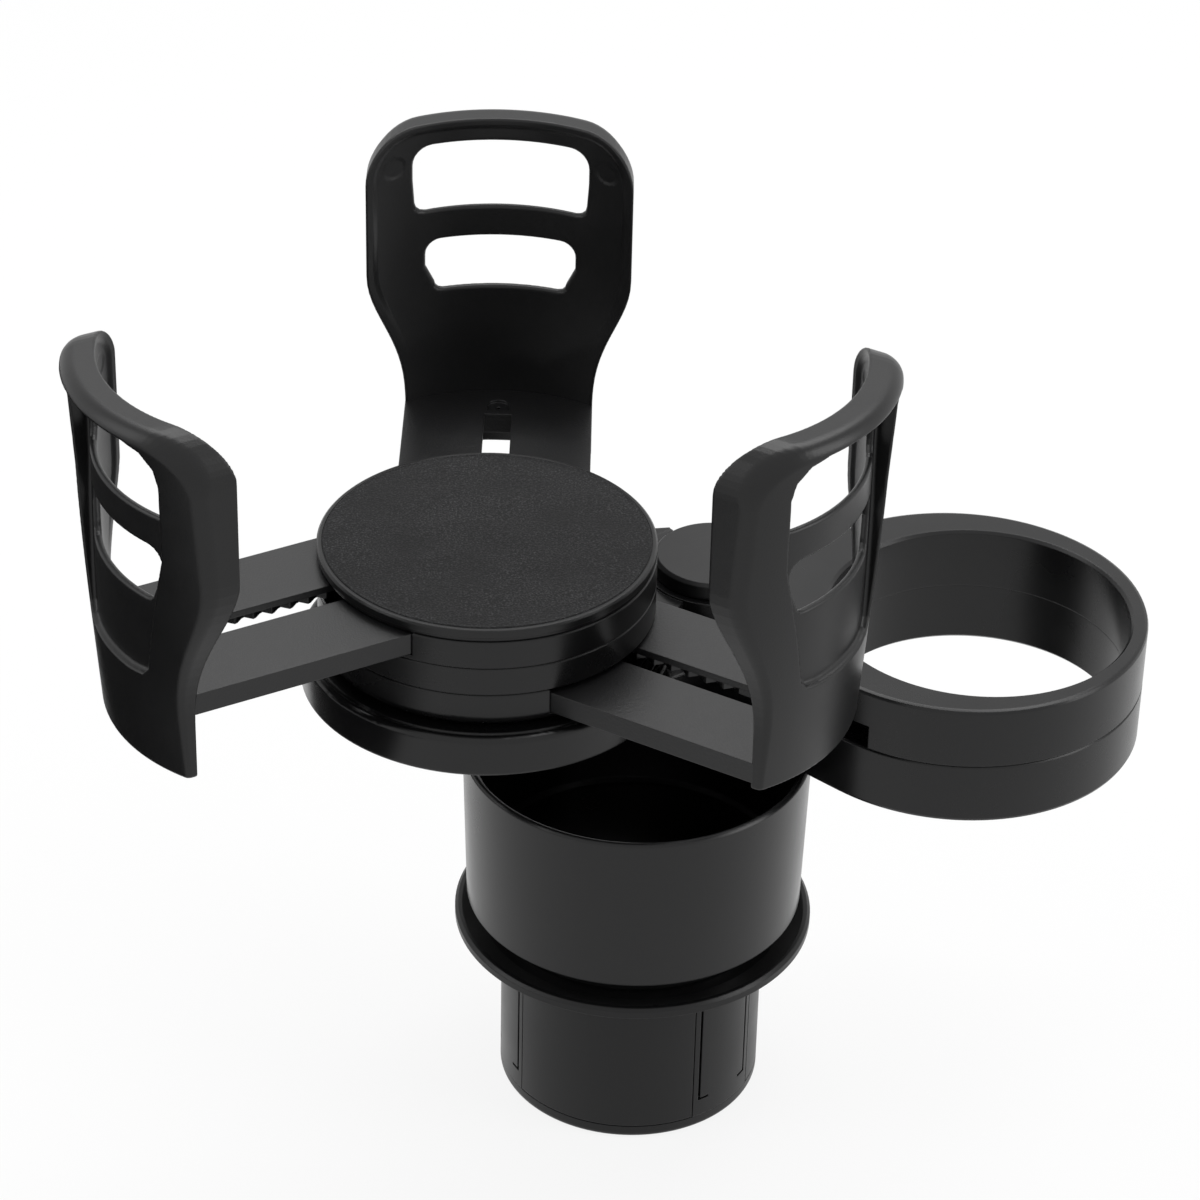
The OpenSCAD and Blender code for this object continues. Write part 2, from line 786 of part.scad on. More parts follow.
module stack_layer(direction, below, z, height) {
    difference() {
        union() {
            difference() {
                translate([0, 0, z])
                    layer_wall(height);
                channel(direction, z + channel_floor, z + height + 1);
            }
            guide_post(direction, z + channel_floor - 0.5, z + height - slide_gap);
        }
        lobe_places(below, z + channel_floor)
            countersunk_hole(channel_floor + 1);
        lobe_places(direction, z + height - 5.4)
            cylinder(r = screw_radius + pin_gap, h = 6);
    }
}

module stack_mid() {
    color("#1e1e20")
    translate([tray_x, tray_y, 0])
        stack_layer(back_direction, right_direction, mid_z, mid_height);
}

module stack_top() {
    color("#1e1e20")
    translate([tray_x, tray_y, 0])
        stack_layer(left_direction, back_direction, top_z, top_height);
}

module stack_cover() {
    pocket = stack_radius - lip_width;
    color("#1e1e20")
    translate([tray_x, tray_y, 0])
        difference() {
            translate([0, 0, cover_z])
                rotate_extrude()
                    polygon([[0, 0], [stack_radius - 0.6, 0], [stack_radius - 0.6, 1.2], [stack_radius, 1.2],
                             [stack_radius, cover_top_z - cover_z - 0.5], [stack_radius - 0.5, cover_top_z - cover_z],
                             [pocket, cover_top_z - cover_z], [pocket, cover_plate], [0, cover_plate]]);
            lobe_places(left_direction, cover_z + cover_plate)
                countersunk_hole(cover_plate + 1);
        }
}

module foam_pad() {
    color("#2c2c2e")
    translate([tray_x, tray_y, cover_z + cover_plate])
        cylinder(r = stack_radius - lip_width - slide_gap, h = pad_thickness);
}

module stack_screws(direction, z, length) {
    color("#8d9094")
    translate([tray_x, tray_y, 0])
        lobe_places(direction, z)
            countersunk_screw(length);
}

// Grip arm: slotted bar with two hidden racks, and the curved paddle

function rack_wave(u) = u < 1 / 3 ? (1 - cos(540 * u)) / 2 : (1 + cos(270 * (u - 1 / 3))) / 2;

module rack_space() {
    steps = 6;
    start = slot_inner_end + 2;
    teeth = floor((slot_outer_end - 1.5 - start) / rack_pitch);
    side = [for (i = [0:teeth * steps])
        [start + i * rack_pitch / steps, rack_crest + rack_depth * rack_wave(i / steps - floor(i / steps))]];
    back = [for (i = [len(side) - 1:-1:0]) [side[i][0], -side[i][1]]];
    polygon(concat([[start, 0]], side, back));
}

module arm_bar(z) {
    skin_z = z + arm_thickness - skin_thickness;
    end_arc = arm_travel_in - arm_inner_end;
    recess_x = paddle_face - 8.2;
    difference() {
        translate([0, -arm_half, z])
            cube([paddle_face + 1, 2 * arm_half, arm_thickness]);
        difference() {
            translate([-1, -arm_half - 1, z - 1])
                cube([arm_travel_in + 1, 2 * arm_half + 2, arm_thickness + 2]);
            translate([arm_travel_in, 0, z - 2])
                cylinder(r = end_arc, h = arm_thickness + 4);
            translate([arm_travel_in - end_arc * 0.5, -arm_half - 2, z - 2])
                cube([end_arc, 2 * arm_half + 4, arm_thickness + 4]);
        }
        translate([slot_inner_end + slot_half, -slot_half, z - 1])
            cube([slot_outer_end - slot_inner_end - 2 * slot_half, 2 * slot_half, arm_thickness + 2]);
        for (x = [slot_inner_end + slot_half, slot_outer_end - slot_half])
            translate([x, 0, z - 1])
                cylinder(r = slot_half, h = arm_thickness + 2);
        translate([0, 0, z - 1])
            linear_extrude(skin_z - z + 1)
                rack_space();
        translate([recess_x - 2.6, -2.9, z + arm_thickness - 0.8])
            cube([2.6, 5.8, 2]);
        translate([recess_x, 0, z + arm_thickness - 0.8])
            cylinder(r = 2.9, h = 2);
        translate([recess_x, 0, z - 1])
            cylinder(r = 0.6, h = arm_thickness + 2);
        difference() {
            translate([paddle_axis + paddle_radius * 0.7, -arm_half - 1, z - 1])
                cube([paddle_radius, 2 * arm_half + 2, arm_thickness + 2]);
            translate([paddle_axis, 0, z - 2])
                cylinder(r = paddle_radius + 1, h = arm_thickness + 4);
        }
    }
}

function ease(x) = x * x * (3 - 2 * x);

function paddle_edge(inset) = concat(
    [[arm_half - inset, 0]],
    [for (i = [0:8]) [arm_half - inset + (head_half - arm_half) * ease(i / 8), stem_height + flare_height * i / 8]],
    [for (a = [0:15:90]) [head_half - corner_radius + (corner_radius - inset) * cos(a),
                          paddle_height - corner_radius + (corner_radius - inset) * sin(a)]]);

// Prism over a mirrored outline of half widths and heights, seen from outside the paddle

module facing(points) {
    low = paddle_axis + 1;
    mirrored = [for (i = [len(points) - 1:-1:0]) [-points[i][0], points[i][1]]];
    translate([low, 0, paddle_z])
        rotate([90, 0, 90])
            linear_extrude(paddle_face + 14 - low)
                polygon(concat(points, mirrored));
}

module outer_face(shrink) {
    tilt = atan(paddle_lean / paddle_height);
    translate([outer_axis, 0, paddle_z])
        rotate([0, tilt, 0])
            translate([0, 0, -20])
                cylinder(r = paddle_outer_radius - shrink, h = paddle_height + 40);
}

function window(low, high, half_low, half_high, rounding) =
    let (foot = rounding * 0.42)
    concat([for (a = [0:30:90]) [half_low - foot + foot * sin(a), low + foot - foot * cos(a)]],
           [[half_high, (low + high) / 2]],
           [for (a = [0:15:90]) [half_high - rounding + rounding * cos(a), high - rounding + rounding * sin(a)]]);

// Field round the windows, sunk from the outer face to the plate

function field_outline(top) = [
    [10, 25.6], [14.6, 26.2], [16.6, 28.4], [18.6, top - 57.2], [22.6, top - 40.2], [24.4, top - 33.2],
    [25.6, top - 13.2], [24.8, top - 8.8], [21.8, top - 5.4], [17, top - 4], [8, top - 3.6]];

module paddle() {
    upper_low = paddle_height - 25.6;
    lower_low = paddle_height - 48.9;
    difference() {
        intersection() {
            outer_face(0);
            facing(paddle_edge(0));
        }
        translate([paddle_axis, 0, paddle_z - 1])
            cylinder(r = paddle_radius, h = paddle_height + 2);
        facing(window(upper_low, upper_low + 18.5, 21.4, 22.6, 5));
        facing(window(lower_low, lower_low + 14.5, 16.4, 19.5, 4));
        difference() {
            facing(field_outline(paddle_height));
            translate([paddle_axis, 0, paddle_z - 1])
                cylinder(r = paddle_radius + paddle_wall, h = paddle_height + 2);
        }
    }
}

module grip_arm(direction, z, shift) {
    color("#1a1a1c")
    translate([tray_x, tray_y, 0])
        rotate([0, 0, direction])
            translate([shift, 0, 0]) {
                arm_bar(z);
                paddle();
            }
}

base_shell();
bottom_cover();
bottom_screws();
grip_shoe(0);  // grip_shoe_front
grip_shoe(1);  // grip_shoe_right
grip_shoe(2);  // grip_shoe_left
expander_cam();
cam_screw();
main_cup();
pivot_bolt();
pivot_cap();
ring_lower();
ring_upper();
ring_screws();
swing_tray();
turntable_retainer();
turntable_screw();
stack_low();
stack_mid();
stack_top();
stack_cover();
foam_pad();
stack_screws(right_direction, mid_z + channel_floor, 7);  // stack_screws_low
stack_screws(back_direction, top_z + channel_floor, 6);  // stack_screws_mid
stack_screws(left_direction, cover_z + cover_plate, 6);  // cover_screws
grip_arm(left_direction, top_arm_z, left_shift);  // arm_left
grip_arm(back_direction, mid_arm_z, back_shift);  // arm_back
grip_arm(right_direction, low_arm_z, right_shift);  // arm_right
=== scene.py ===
"""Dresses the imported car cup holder: plastic finishes, grip arms, the foam pad and a soft studio."""
from __future__ import annotations

import logging
import math
from dataclasses import dataclass, field
from enum import Enum
from typing import Callable, NamedTuple, Sequence

import bpy
import numpy as np
from mathutils import Euler, Matrix, Vector


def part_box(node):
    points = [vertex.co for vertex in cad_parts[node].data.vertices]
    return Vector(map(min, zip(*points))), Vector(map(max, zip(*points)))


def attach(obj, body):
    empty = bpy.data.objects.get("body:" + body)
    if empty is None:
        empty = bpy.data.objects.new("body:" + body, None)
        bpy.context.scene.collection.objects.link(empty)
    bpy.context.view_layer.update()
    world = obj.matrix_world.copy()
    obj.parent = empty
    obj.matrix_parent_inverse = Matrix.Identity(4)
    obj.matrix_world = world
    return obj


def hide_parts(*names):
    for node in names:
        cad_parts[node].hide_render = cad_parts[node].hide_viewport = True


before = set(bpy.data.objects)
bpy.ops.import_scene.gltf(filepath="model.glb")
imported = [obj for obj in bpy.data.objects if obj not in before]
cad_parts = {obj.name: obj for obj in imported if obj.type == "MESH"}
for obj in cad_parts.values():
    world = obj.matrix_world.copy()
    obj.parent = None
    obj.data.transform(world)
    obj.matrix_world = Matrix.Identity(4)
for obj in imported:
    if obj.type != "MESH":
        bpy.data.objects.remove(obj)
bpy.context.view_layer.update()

LOG = logging.getLogger("cup_holder")
MM = 0.001
Array = np.ndarray
Points = Sequence[tuple[float, float]]
Place = tuple[float, float, float]
Colour = tuple[float, float, float]
Shape = Callable[[Array, Array, Array], Array]
Socket = bpy.types.NodeSocket
WHITE = (1.0, 1.0, 1.0, 1.0)


class Side(Enum):
    """The three grip arms, by where they point from the stack."""

    LEFT = "left"
    BACK = "back"
    RIGHT = "right"


class Slot(Enum):
    """The record's material slots."""

    BLACK = "black_plastic"
    ARM = "arm_plastic"
    FOAM = "foam"
    STEEL = "steel"


class Span(NamedTuple):
    """A range of values, from its start to its end."""

    start: float
    end: float


class Noise(NamedTuple):
    """A noise texture: cells per metre, octaves, and the weight of the finer octaves."""

    scale: float
    detail: float = 2.0
    rough: float = 0.5


UNIT = Span(0.0, 1.0)


def ramp(value: Array, span: Span) -> Array:
    """Rises from 0 at the span's start to 1 at its end, and stays level outside it."""
    return np.clip((value - span.start) / (span.end - span.start), 0.0, 1.0)


def smooth(share: float | Array) -> float | Array:
    """Eases a share from 0 to 1 in and out."""
    return share * share * (3 - 2 * share)


# Shader graphs


@dataclass
class ShaderGraph:
    """A small helper that builds one node material.

    Attributes:
        name: Name of the material.
    """

    name: str
    material: bpy.types.Material = field(init=False)

    def __post_init__(self) -> None:
        """Starts the material with its shader and output."""
        self.material = bpy.data.materials.new(self.name)
        self.material.use_nodes = True
        self.tree = self.material.node_tree
        self.tree.nodes.clear()
        self.output = self.tree.nodes.new("ShaderNodeOutputMaterial")

    def node(self, kind: str, **settings: object) -> bpy.types.Node:
        """Adds a node.

        Args:
            kind: Blender's name of the node type.
            settings: Attributes of the node to set.

        Returns:
            The new node.
        """
        made = self.tree.nodes.new(kind)
        for key, value in settings.items():
            setattr(made, key, value)
        return made

    def link(self, source: Socket, target: Socket) -> None:
        """Joins two sockets."""
        self.tree.links.new(source, target)

    def shader(self, **levels: float) -> bpy.types.Node:
        """Adds the main shader and joins it to the output.

        Args:
            levels: Values of its sockets, with an underscore for each blank in a socket's name.

        Returns:
            The shader.
        """
        made = self.node("ShaderNodeBsdfPrincipled")
        for key, value in levels.items():
            made.inputs[key.replace("_", " ")].default_value = value
        self.link(made.outputs["BSDF"], self.output.inputs["Surface"])
        return made

    def place(self) -> Socket:
        """Adds the place on the piece, in its own axes."""
        return self.node("ShaderNodeTexCoord").outputs["Object"]

    def noise(self, place: Socket, noise: Noise) -> Socket:
        """Adds a noise texture.

        Args:
            place: Socket with the place on the piece.
            noise: Its settings.

        Returns:
            Socket of the noise value, from 0 to 1.
        """
        made = self.node("ShaderNodeTexNoise")
        made.inputs["Scale"].default_value = noise.scale
        made.inputs["Detail"].default_value = noise.detail
        made.inputs["Roughness"].default_value = noise.rough
        self.link(place, made.inputs["Vector"])
        return made.outputs["Fac"]

    def ranged(self, value: Socket, source: Span, result: Span = UNIT) -> Socket:
        """Maps a value from one range to another, clamped.

        Args:
            value: Socket to map.
            source: Range of the value.
            result: Range of the result.

        Returns:
            Socket of the mapped value.
        """
        made = self.node("ShaderNodeMapRange")
        for side, span in (("From", source), ("To", result)):
            made.inputs[f"{side} Min"].default_value = span.start
            made.inputs[f"{side} Max"].default_value = span.end
        self.link(value, made.inputs["Value"])
        return made.outputs["Result"]

    def times(self, a: Socket, b: Socket) -> Socket:
        """Multiplies two values."""
        made = self.node("ShaderNodeMath", operation="MULTIPLY")
        self.link(a, made.inputs[0])
        self.link(b, made.inputs[1])
        return made.outputs[0]

    def bump(self, height: Socket, depth: float, below: Socket | None = None) -> Socket:
        """Adds a bump.

        Args:
            height: Socket of the height, from 0 to 1.
            depth: Depth of the relief in metres.
            below: Normal that the bump is laid on.

        Returns:
            Socket of the bumped normal.
        """
        made = self.node("ShaderNodeBump")
        made.inputs["Strength"].default_value = 1.0
        made.inputs["Distance"].default_value = depth
        self.link(height, made.inputs["Height"])
        if below is not None:
            self.link(below, made.inputs["Normal"])
        return made.outputs["Normal"]

    def mixed(self, amount: Socket, first: Colour, second: Colour) -> Socket:
        """Mixes two colours by a value.

        Args:
            amount: Socket of the share of the second colour.
            first: First colour, linear.
            second: Second colour, linear.

        Returns:
            Socket of the colour.
        """
        made = self.node("ShaderNodeMix", data_type="RGBA")
        self.link(amount, made.inputs["Factor"])
        colours = [socket for socket in made.inputs if socket.type == "RGBA"]
        for socket, colour in zip(colours, (first, second)):
            socket.default_value = (*colour, 1.0)
        return next(socket for socket in made.outputs if socket.type == "RGBA")


@dataclass(frozen=True)
class MouldedPlastic:
    """Injection-moulded plastic with its grain, sheen and paler edges, partly rubbed wear and partly a
    painted edge highlight.

    Attributes:
        name: Name of the material.
        colour: Base colour, linear.
        worn_and_highlight: Colour of the paler edges, linear: rubbed wear and a painted edge highlight.
        roughness: Middle roughness.
        spread: How far the roughness wanders to each side.
        grain: Size of the mould grain in metres.
        grain_depth: Depth of the grain in metres.
        ripple_depth: Depth of the slow waves that cooling leaves, in metres.
        edge: Radius that edges look rounded to, in metres.
        wear_and_highlight: Strength of the paler edges, rubbed wear and painted edge highlight, from 0 to 1.
        level: Specular level of the shader.
        turn: How far the rounded normal follows the flat one, where the paler edge (wear and painted
            highlight) starts and where it is full.
        patch: Noise that breaks the paler edges up.
        patch_source: Part of that noise that is used.
        patch_result: Share of the paler edge that it leaves.
        cloud: Noise of the wandering roughness.
        cloud_source: Part of that noise that is used.
        ripple: Noise of the slow waves.
    """

    name: str
    colour: Colour = (0.0045, 0.0045, 0.0048)
    worn_and_highlight: Colour = (0.035, 0.035, 0.036)
    roughness: float = 0.3
    spread: float = 0.05
    grain: float = 0.00035
    grain_depth: float = 0.000006
    ripple_depth: float = 0.00004
    edge: float = 0.0004
    wear_and_highlight: float = 0.35
    level: float = 0.33
    turn: Span = Span(0.995, 0.82)
    patch: Noise = Noise(90.0, 4.0, 0.6)
    patch_source: Span = Span(0.42, 0.68)
    patch_result: Span = Span(0.15, 1.0)
    cloud: Noise = Noise(34.0, 5.0, 0.62)
    cloud_source: Span = Span(0.3, 0.7)
    ripple: Noise = Noise(42.0, 1.0)

    def build(self) -> bpy.types.Material:
        """Builds the material and returns it."""
        graph = ShaderGraph(self.name)
        shader = graph.shader(Specular_IOR_Level=self.level)
        place = graph.place()
        rounded = graph.node("ShaderNodeBevel", samples=4)
        rounded.inputs["Radius"].default_value = self.edge
        graph.link(self._colour(graph, place, rounded.outputs["Normal"]), shader.inputs["Base Color"])
        wander = Span(self.roughness - self.spread, self.roughness + self.spread)
        rough = graph.ranged(graph.noise(place, self.cloud), self.cloud_source, wander)
        graph.link(rough, shader.inputs["Roughness"])
        waves = graph.bump(graph.noise(place, self.ripple), self.ripple_depth, rounded.outputs["Normal"])
        grain = graph.noise(place, Noise(1.0 / self.grain, detail=3.0, rough=0.6))
        graph.link(graph.bump(grain, self.grain_depth, waves), shader.inputs["Normal"])
        return graph.material

    def _colour(self, graph: ShaderGraph, place: Socket, rounded: Socket) -> Socket:
        """Makes the colour, paler on rounded edges: rubbed wear and a painted edge highlight.

        Args:
            graph: Graph of the material.
            place: Socket with the place on the piece.
            rounded: Socket of the normal with rounded edges.

        Returns:
            Socket of the colour.
        """
        facing = graph.node("ShaderNodeVectorMath", operation="DOT_PRODUCT")
        graph.link(rounded, facing.inputs[0])
        graph.link(graph.node("ShaderNodeNewGeometry").outputs["Normal"], facing.inputs[1])
        # Paler colour on the rounded edges, broken into noise patches: partly rubbed wear, partly a painted
        # edge highlight.
        rim = graph.ranged(facing.outputs["Value"], self.turn, Span(0.0, self.wear_and_highlight))
        patches = graph.ranged(graph.noise(place, self.patch), self.patch_source, self.patch_result)
        return graph.mixed(graph.times(rim, patches), self.colour, self.worn_and_highlight)


@dataclass(frozen=True)
class FoamRubber:
    """Closed-cell foam with open pores and pale flecks.

    Attributes:
        name: Name of the material.
        colour: Base colour, linear.
        fleck: Colour of the flecks, linear.
        pore: Size of a pore in metres.
        pore_depth: Depth of a pore in metres.
        swell_depth: Depth of the soft swells under the pores, in metres.
    """

    name: str
    colour: Colour = (0.008, 0.008, 0.0084)
    fleck: Colour = (0.1, 0.1, 0.104)
    pore: float = 0.00055
    pore_depth: float = 0.00008
    swell_depth: float = 0.00005

    def build(self) -> bpy.types.Material:
        """Builds the material and returns it."""
        graph = ShaderGraph(self.name)
        shader = graph.shader(Roughness=0.92, Specular_IOR_Level=0.2, Sheen_Weight=0.04, Sheen_Roughness=0.6)
        place = graph.place()
        fine = graph.noise(place, Noise(1900.0, detail=3.0, rough=0.8))
        broad = graph.noise(place, Noise(55.0, detail=4.0, rough=0.6))
        flecks = graph.ranged(fine, Span(0.5, 0.74), Span(0.0, 0.9))
        clouds = graph.ranged(broad, Span(0.3, 0.72), Span(0.25, 1.0))
        colour = graph.mixed(graph.times(flecks, clouds), self.colour, self.fleck)
        graph.link(colour, shader.inputs["Base Color"])
        swells = graph.bump(graph.noise(place, Noise(420.0, detail=3.0, rough=0.6)), self.swell_depth)
        pores = graph.node("ShaderNodeTexVoronoi", feature="F1")
        pores.inputs["Scale"].default_value = 1.0 / self.pore
        graph.link(place, pores.inputs["Vector"])
        graph.link(graph.bump(pores.outputs["Distance"], self.pore_depth, swells), shader.inputs["Normal"])
        return graph.material


@dataclass(frozen=True)
class PlatedSteel:
    """Zinc-plated steel of the screws and the bolt.

    Attributes:
        name: Name of the material.
        colour: Colour of the metal, linear.
        dull: Share of the colour that dull spots keep.
        roughness: Roughness, from bright to dull spots.
        ripple_depth: Depth of the fine ripples in metres.
    """

    name: str
    colour: Colour = (0.48, 0.49, 0.5)
    dull: float = 0.7
    roughness: Span = Span(0.23, 0.4)
    ripple_depth: float = 0.000006

    def build(self) -> bpy.types.Material:
        """Builds the material and returns it."""
        graph = ShaderGraph(self.name)
        shader = graph.shader(Metallic=1.0)
        place = graph.place()
        cloud = graph.noise(place, Noise(420.0, detail=4.0, rough=0.6))
        red, green, blue = self.colour
        dull = (red * self.dull, green * self.dull, blue * self.dull)
        colour = graph.mixed(graph.ranged(cloud, Span(0.35, 0.7)), self.colour, dull)
        graph.link(colour, shader.inputs["Base Color"])
        graph.link(graph.ranged(cloud, Span(0.3, 0.7), self.roughness), shader.inputs["Roughness"])
        ripples = graph.bump(graph.noise(place, Noise(5200.0)), self.ripple_depth)
        graph.link(ripples, shader.inputs["Normal"])
        return graph.material


class Finish(Enum):
    """The finishes of this object's pieces."""

    CUP = MouldedPlastic("satin_cup_plastic", roughness=0.24, spread=0.04, grain_depth=0.000003,
                         edge=0.0007)
    INSERT = MouldedPlastic("insert_plastic", roughness=0.34, grain_depth=0.000008, level=0.27)
    SHOE = MouldedPlastic("shoe_plastic", roughness=0.36, grain_depth=0.00001, level=0.27)
    RING = MouldedPlastic("ring_plastic", roughness=0.26, grain_depth=0.000004)
    TRAY = MouldedPlastic("tray_plastic", roughness=0.2, grain_depth=0.000003, edge=0.0008)
    STACK = MouldedPlastic("stack_plastic", grain_depth=0.000005)
    CAP = MouldedPlastic("cap_plastic", roughness=0.42, grain_depth=0.00001)
    ARM = MouldedPlastic("arm_plastic_grained", colour=(0.006, 0.006, 0.0064), roughness=0.38,
                         grain=0.0006, grain_depth=0.00006, wear_and_highlight=0.25, level=0.4)
    PADDLE = MouldedPlastic("paddle_plastic", colour=(0.005, 0.005, 0.0053), roughness=0.36,
                            grain=0.0005, grain_depth=0.000028, edge=0.0003, wear_and_highlight=0.2)
    FOAM = FoamRubber("charcoal_foam")
    STEEL = PlatedSteel("zinc_plated_steel")


@dataclass
class FinishBook:
    """Builds each finish once and hands it out."""

    made: dict[Finish, bpy.types.Material] = field(default_factory=dict)

    def get(self, finish: Finish) -> bpy.types.Material:
        """Returns the material of a finish, built at its first use."""
        if finish not in self.made:
            self.made[finish] = finish.value.build()
        return self.made[finish]

    def dress(self, piece: bpy.types.Object, finish: Finish) -> None:
        """Gives a whole piece one finish.

        Args:
            piece: Object to dress.
            finish: Its finish.
        """
        piece.data.materials.clear()
        piece.data.materials.append(self.get(finish))


# Shapes from distance fields


def round_and(a: Array, b: Array, radius: float | Array) -> Array:
    """Meets two solids and rounds the edge between them.

    Args:
        a: Distances to the first solid, negative inside.
        b: Distances to the second solid.
        radius: Radius of the edge.

    Returns:
        Distances to what both solids share.
    """
    u, v = np.maximum(a + radius, 0.0), np.maximum(b + radius, 0.0)
    return np.minimum(-radius, np.maximum(a, b)) + np.hypot(u, v)


def carve(solid: Array, tool: Array, radius: float) -> Array:
    """Cuts a tool's volume out of a solid and rounds the edge of the cut."""
    return round_and(solid, -tool, radius)


@dataclass
class Outline:
    """A closed outline in the plane of half widths and heights.

    Attributes:
        corners: Its corners in order, in millimetres.
    """

    corners: Array

    @classmethod
    def mirrored(cls, right: Points) -> "Outline":
        """Makes the outline from its right half.

        Args:
            right: Corners of the right half, from bottom to top.

        Returns:
            The whole outline.
        """
        half = np.array(right, float)
        return cls(np.concatenate([half, (half * [-1.0, 1.0])[::-1]]))

    def distance(self, y: Array, z: Array) -> Array:
        """Signed distances to the outline, negative inside.

        Args:
            y: Half widths.
            z: Heights.

        Returns:
            The distances.
        """
        best = np.full(np.broadcast(y, z).shape, np.inf)
        inside = np.zeros(best.shape, bool)
        ends = np.roll(self.corners, -1, axis=0)
        for (ay, az), (by, bz) in zip(self.corners, ends):
            ey, ez = by - ay, bz - az
            share = np.clip(((y - ay) * ey + (z - az) * ez) / (ey * ey + ez * ez + 1e-12), 0.0, 1.0)
            best = np.minimum(best, (y - ay - share * ey) ** 2 + (z - az - share * ez) ** 2)
            if ez != 0:
                crosses = (az > z) != (bz > z)
                inside ^= crosses & (y < ay + ey * (z - az) / ez)
        return np.where(inside, -1.0, 1.0) * np.sqrt(best)


@dataclass
class SurfaceNet:
    """Meshes the zero level of a distance field.

    Attributes:
        low: Lowest corner of the lattice, in millimetres.
        high: Highest corner of the lattice.
        pitch: Size of a lattice cell.
    """

    low: Place
    high: Place
    pitch: float

    def mesh(self, shape: Shape) -> tuple[Array, Array, Array]:
        """Meshes a field.

        Args:
            shape: Gives distances for x, y and z, negative inside.

        Returns:
            The points, the four-sided faces and the normals at the points.
        """
        axes = [np.arange(a, b + self.pitch, self.pitch) for a, b in zip(self.low, self.high)]
        x, y, z = axes[0][:, None, None], axes[1][None, :, None], axes[2][None, None, :]
        value = np.broadcast_to(shape(x, y, z), [len(a) for a in axes]).astype(np.float32)
        inner = value < 0
        cells = [n - 1 for n in value.shape]
        total = np.zeros((*cells, 3), np.float32)
        count = np.zeros(cells, np.float32)
        for axis in range(3):
            others = [k for k in range(3) if k != axis]
            for first in (0, 1):
                for second in (0, 1):
                    begin = [slice(0, n) for n in cells]
                    begin[others[0]] = slice(first, first + cells[others[0]])
                    begin[others[1]] = slice(second, second + cells[others[1]])
                    end = list(begin)
                    end[axis] = slice(1, 1 + cells[axis])
                    a, b = value[tuple(begin)], value[tuple(end)]
                    cut = (a < 0) != (b < 0)
                    share = np.where(cut, a / np.where(cut, a - b, 1.0), 0.0)
                    total[..., axis] += share
                    total[..., others[0]] += cut * first
                    total[..., others[1]] += cut * second
                    count += cut
        used = count > 0
        index = np.full(cells, -1, np.int64)
        index[used] = np.arange(int(used.sum()))
        corner = np.argwhere(used)
        points = (corner + total[used] / count[used][:, None]) * self.pitch + np.array(self.low)
        faces = [self._quads(inner, index, axis) for axis in range(3)]
        points = self._settle(shape, points)
        return points, np.concatenate(faces), self._slope(shape, points)

    @staticmethod
    def _quads(inner: Array, index: Array, axis: int) -> Array:
        """Faces across the lattice edges along one axis.

        Args:
            inner: Which lattice points are inside.
            index: Point number of each cell, or -1.
            axis: The axis of the edges.

        Returns:
            The faces as point numbers.
        """
        b, c = (axis + 1) % 3, (axis + 2) % 3
        here = [slice(None)] * 3
        there = [slice(None)] * 3
        here[axis], there[axis] = slice(0, -1), slice(1, None)
        for k in (b, c):
            here[k] = there[k] = slice(1, -1)
        start, stop = inner[tuple(here)], inner[tuple(there)]
        found = []
        for leaving in (True, False):
            at = np.argwhere((start != stop) & (start == leaving))
            at[:, b] += 1
            at[:, c] += 1
            ring = []
            for db, dc in ((0, 0), (-1, 0), (-1, -1), (0, -1)):
                cell = at.copy()
                cell[:, b] += db
                cell[:, c] += dc
                ring.append(index[cell[:, 0], cell[:, 1], cell[:, 2]])
            quad = np.stack(ring, 1)
            found.append(quad if leaving else quad[:, ::-1])
        return np.concatenate(found)

    @staticmethod
    def _slope(shape: Shape, points: Array) -> Array:
        """Unit normals of the field at some points.

        Args:
            shape: The distance field.
            points: The points.

        Returns:
            One normal a point.
        """
        step = 0.02
        grown = []
        for axis in range(3):
            shift = np.zeros(3)
            shift[axis] = step
            ahead, behind = points + shift, points - shift
            grown.append(shape(*ahead.T) - shape(*behind.T))
        slope = np.stack(grown, 1) / (2 * step)
        return slope / np.maximum(np.linalg.norm(slope, axis=1, keepdims=True), 1e-9)

    def _settle(self, shape: Shape, points: Array) -> Array:
        """Moves points onto the zero level of the field, by at most one cell.

        Args:
            shape: The distance field.
            points: The points.

        Returns:
            The moved points.
        """
        start = points.copy()
        for _ in range(4):
            points = points - self._slope(shape, points) * shape(*points.T)[:, None]
        way = points - start
        far = np.linalg.norm(way, axis=1, keepdims=True)
        return start + way * np.minimum(1.0, self.pitch / np.maximum(far, 1e-9))


@dataclass
class MeshPiece:
    """Turns points and faces into a piece of the model.

    Attributes:
        name: Name of the piece.
        points: Its points in metres, in the row frame.
        faces: Its faces.
    """

    name: str
    points: Array
    faces: list[Sequence[int]]

    @classmethod
    def flat(cls, name: str, edges: Sequence[float], height: float) -> "MeshPiece":
        """Makes a level rectangle.

        Args:
            name: Name of the piece.
            edges: Its left, front, right and back edge, in metres.
            height: Its height, in metres.

        Returns:
            The piece.
        """
        left, front, right, back = edges
        plan = [(left, front), (right, front), (right, back), (left, back)]
        return cls(name, np.array([(x, y, height) for x, y in plan]), [(0, 1, 2, 3)])

    def build(self, normals: Array | None = None) -> bpy.types.Object:
        """Makes the object.

        Args:
            normals: Normals at the points, where the shading takes them.

        Returns:
            The object, linked to the scene.
        """
        mesh = bpy.data.meshes.new(self.name)
        faces = [tuple(int(i) for i in face) for face in self.faces]
        mesh.from_pydata([tuple(p) for p in self.points], [], faces)
        mesh.validate()
        mesh.shade_smooth()
        if normals is not None:
            mesh.normals_split_custom_set_from_vertices([tuple(n) for n in normals])
        piece = bpy.data.objects.new(self.name, mesh)
        bpy.context.scene.collection.objects.link(piece)
        return piece


# Grip arms


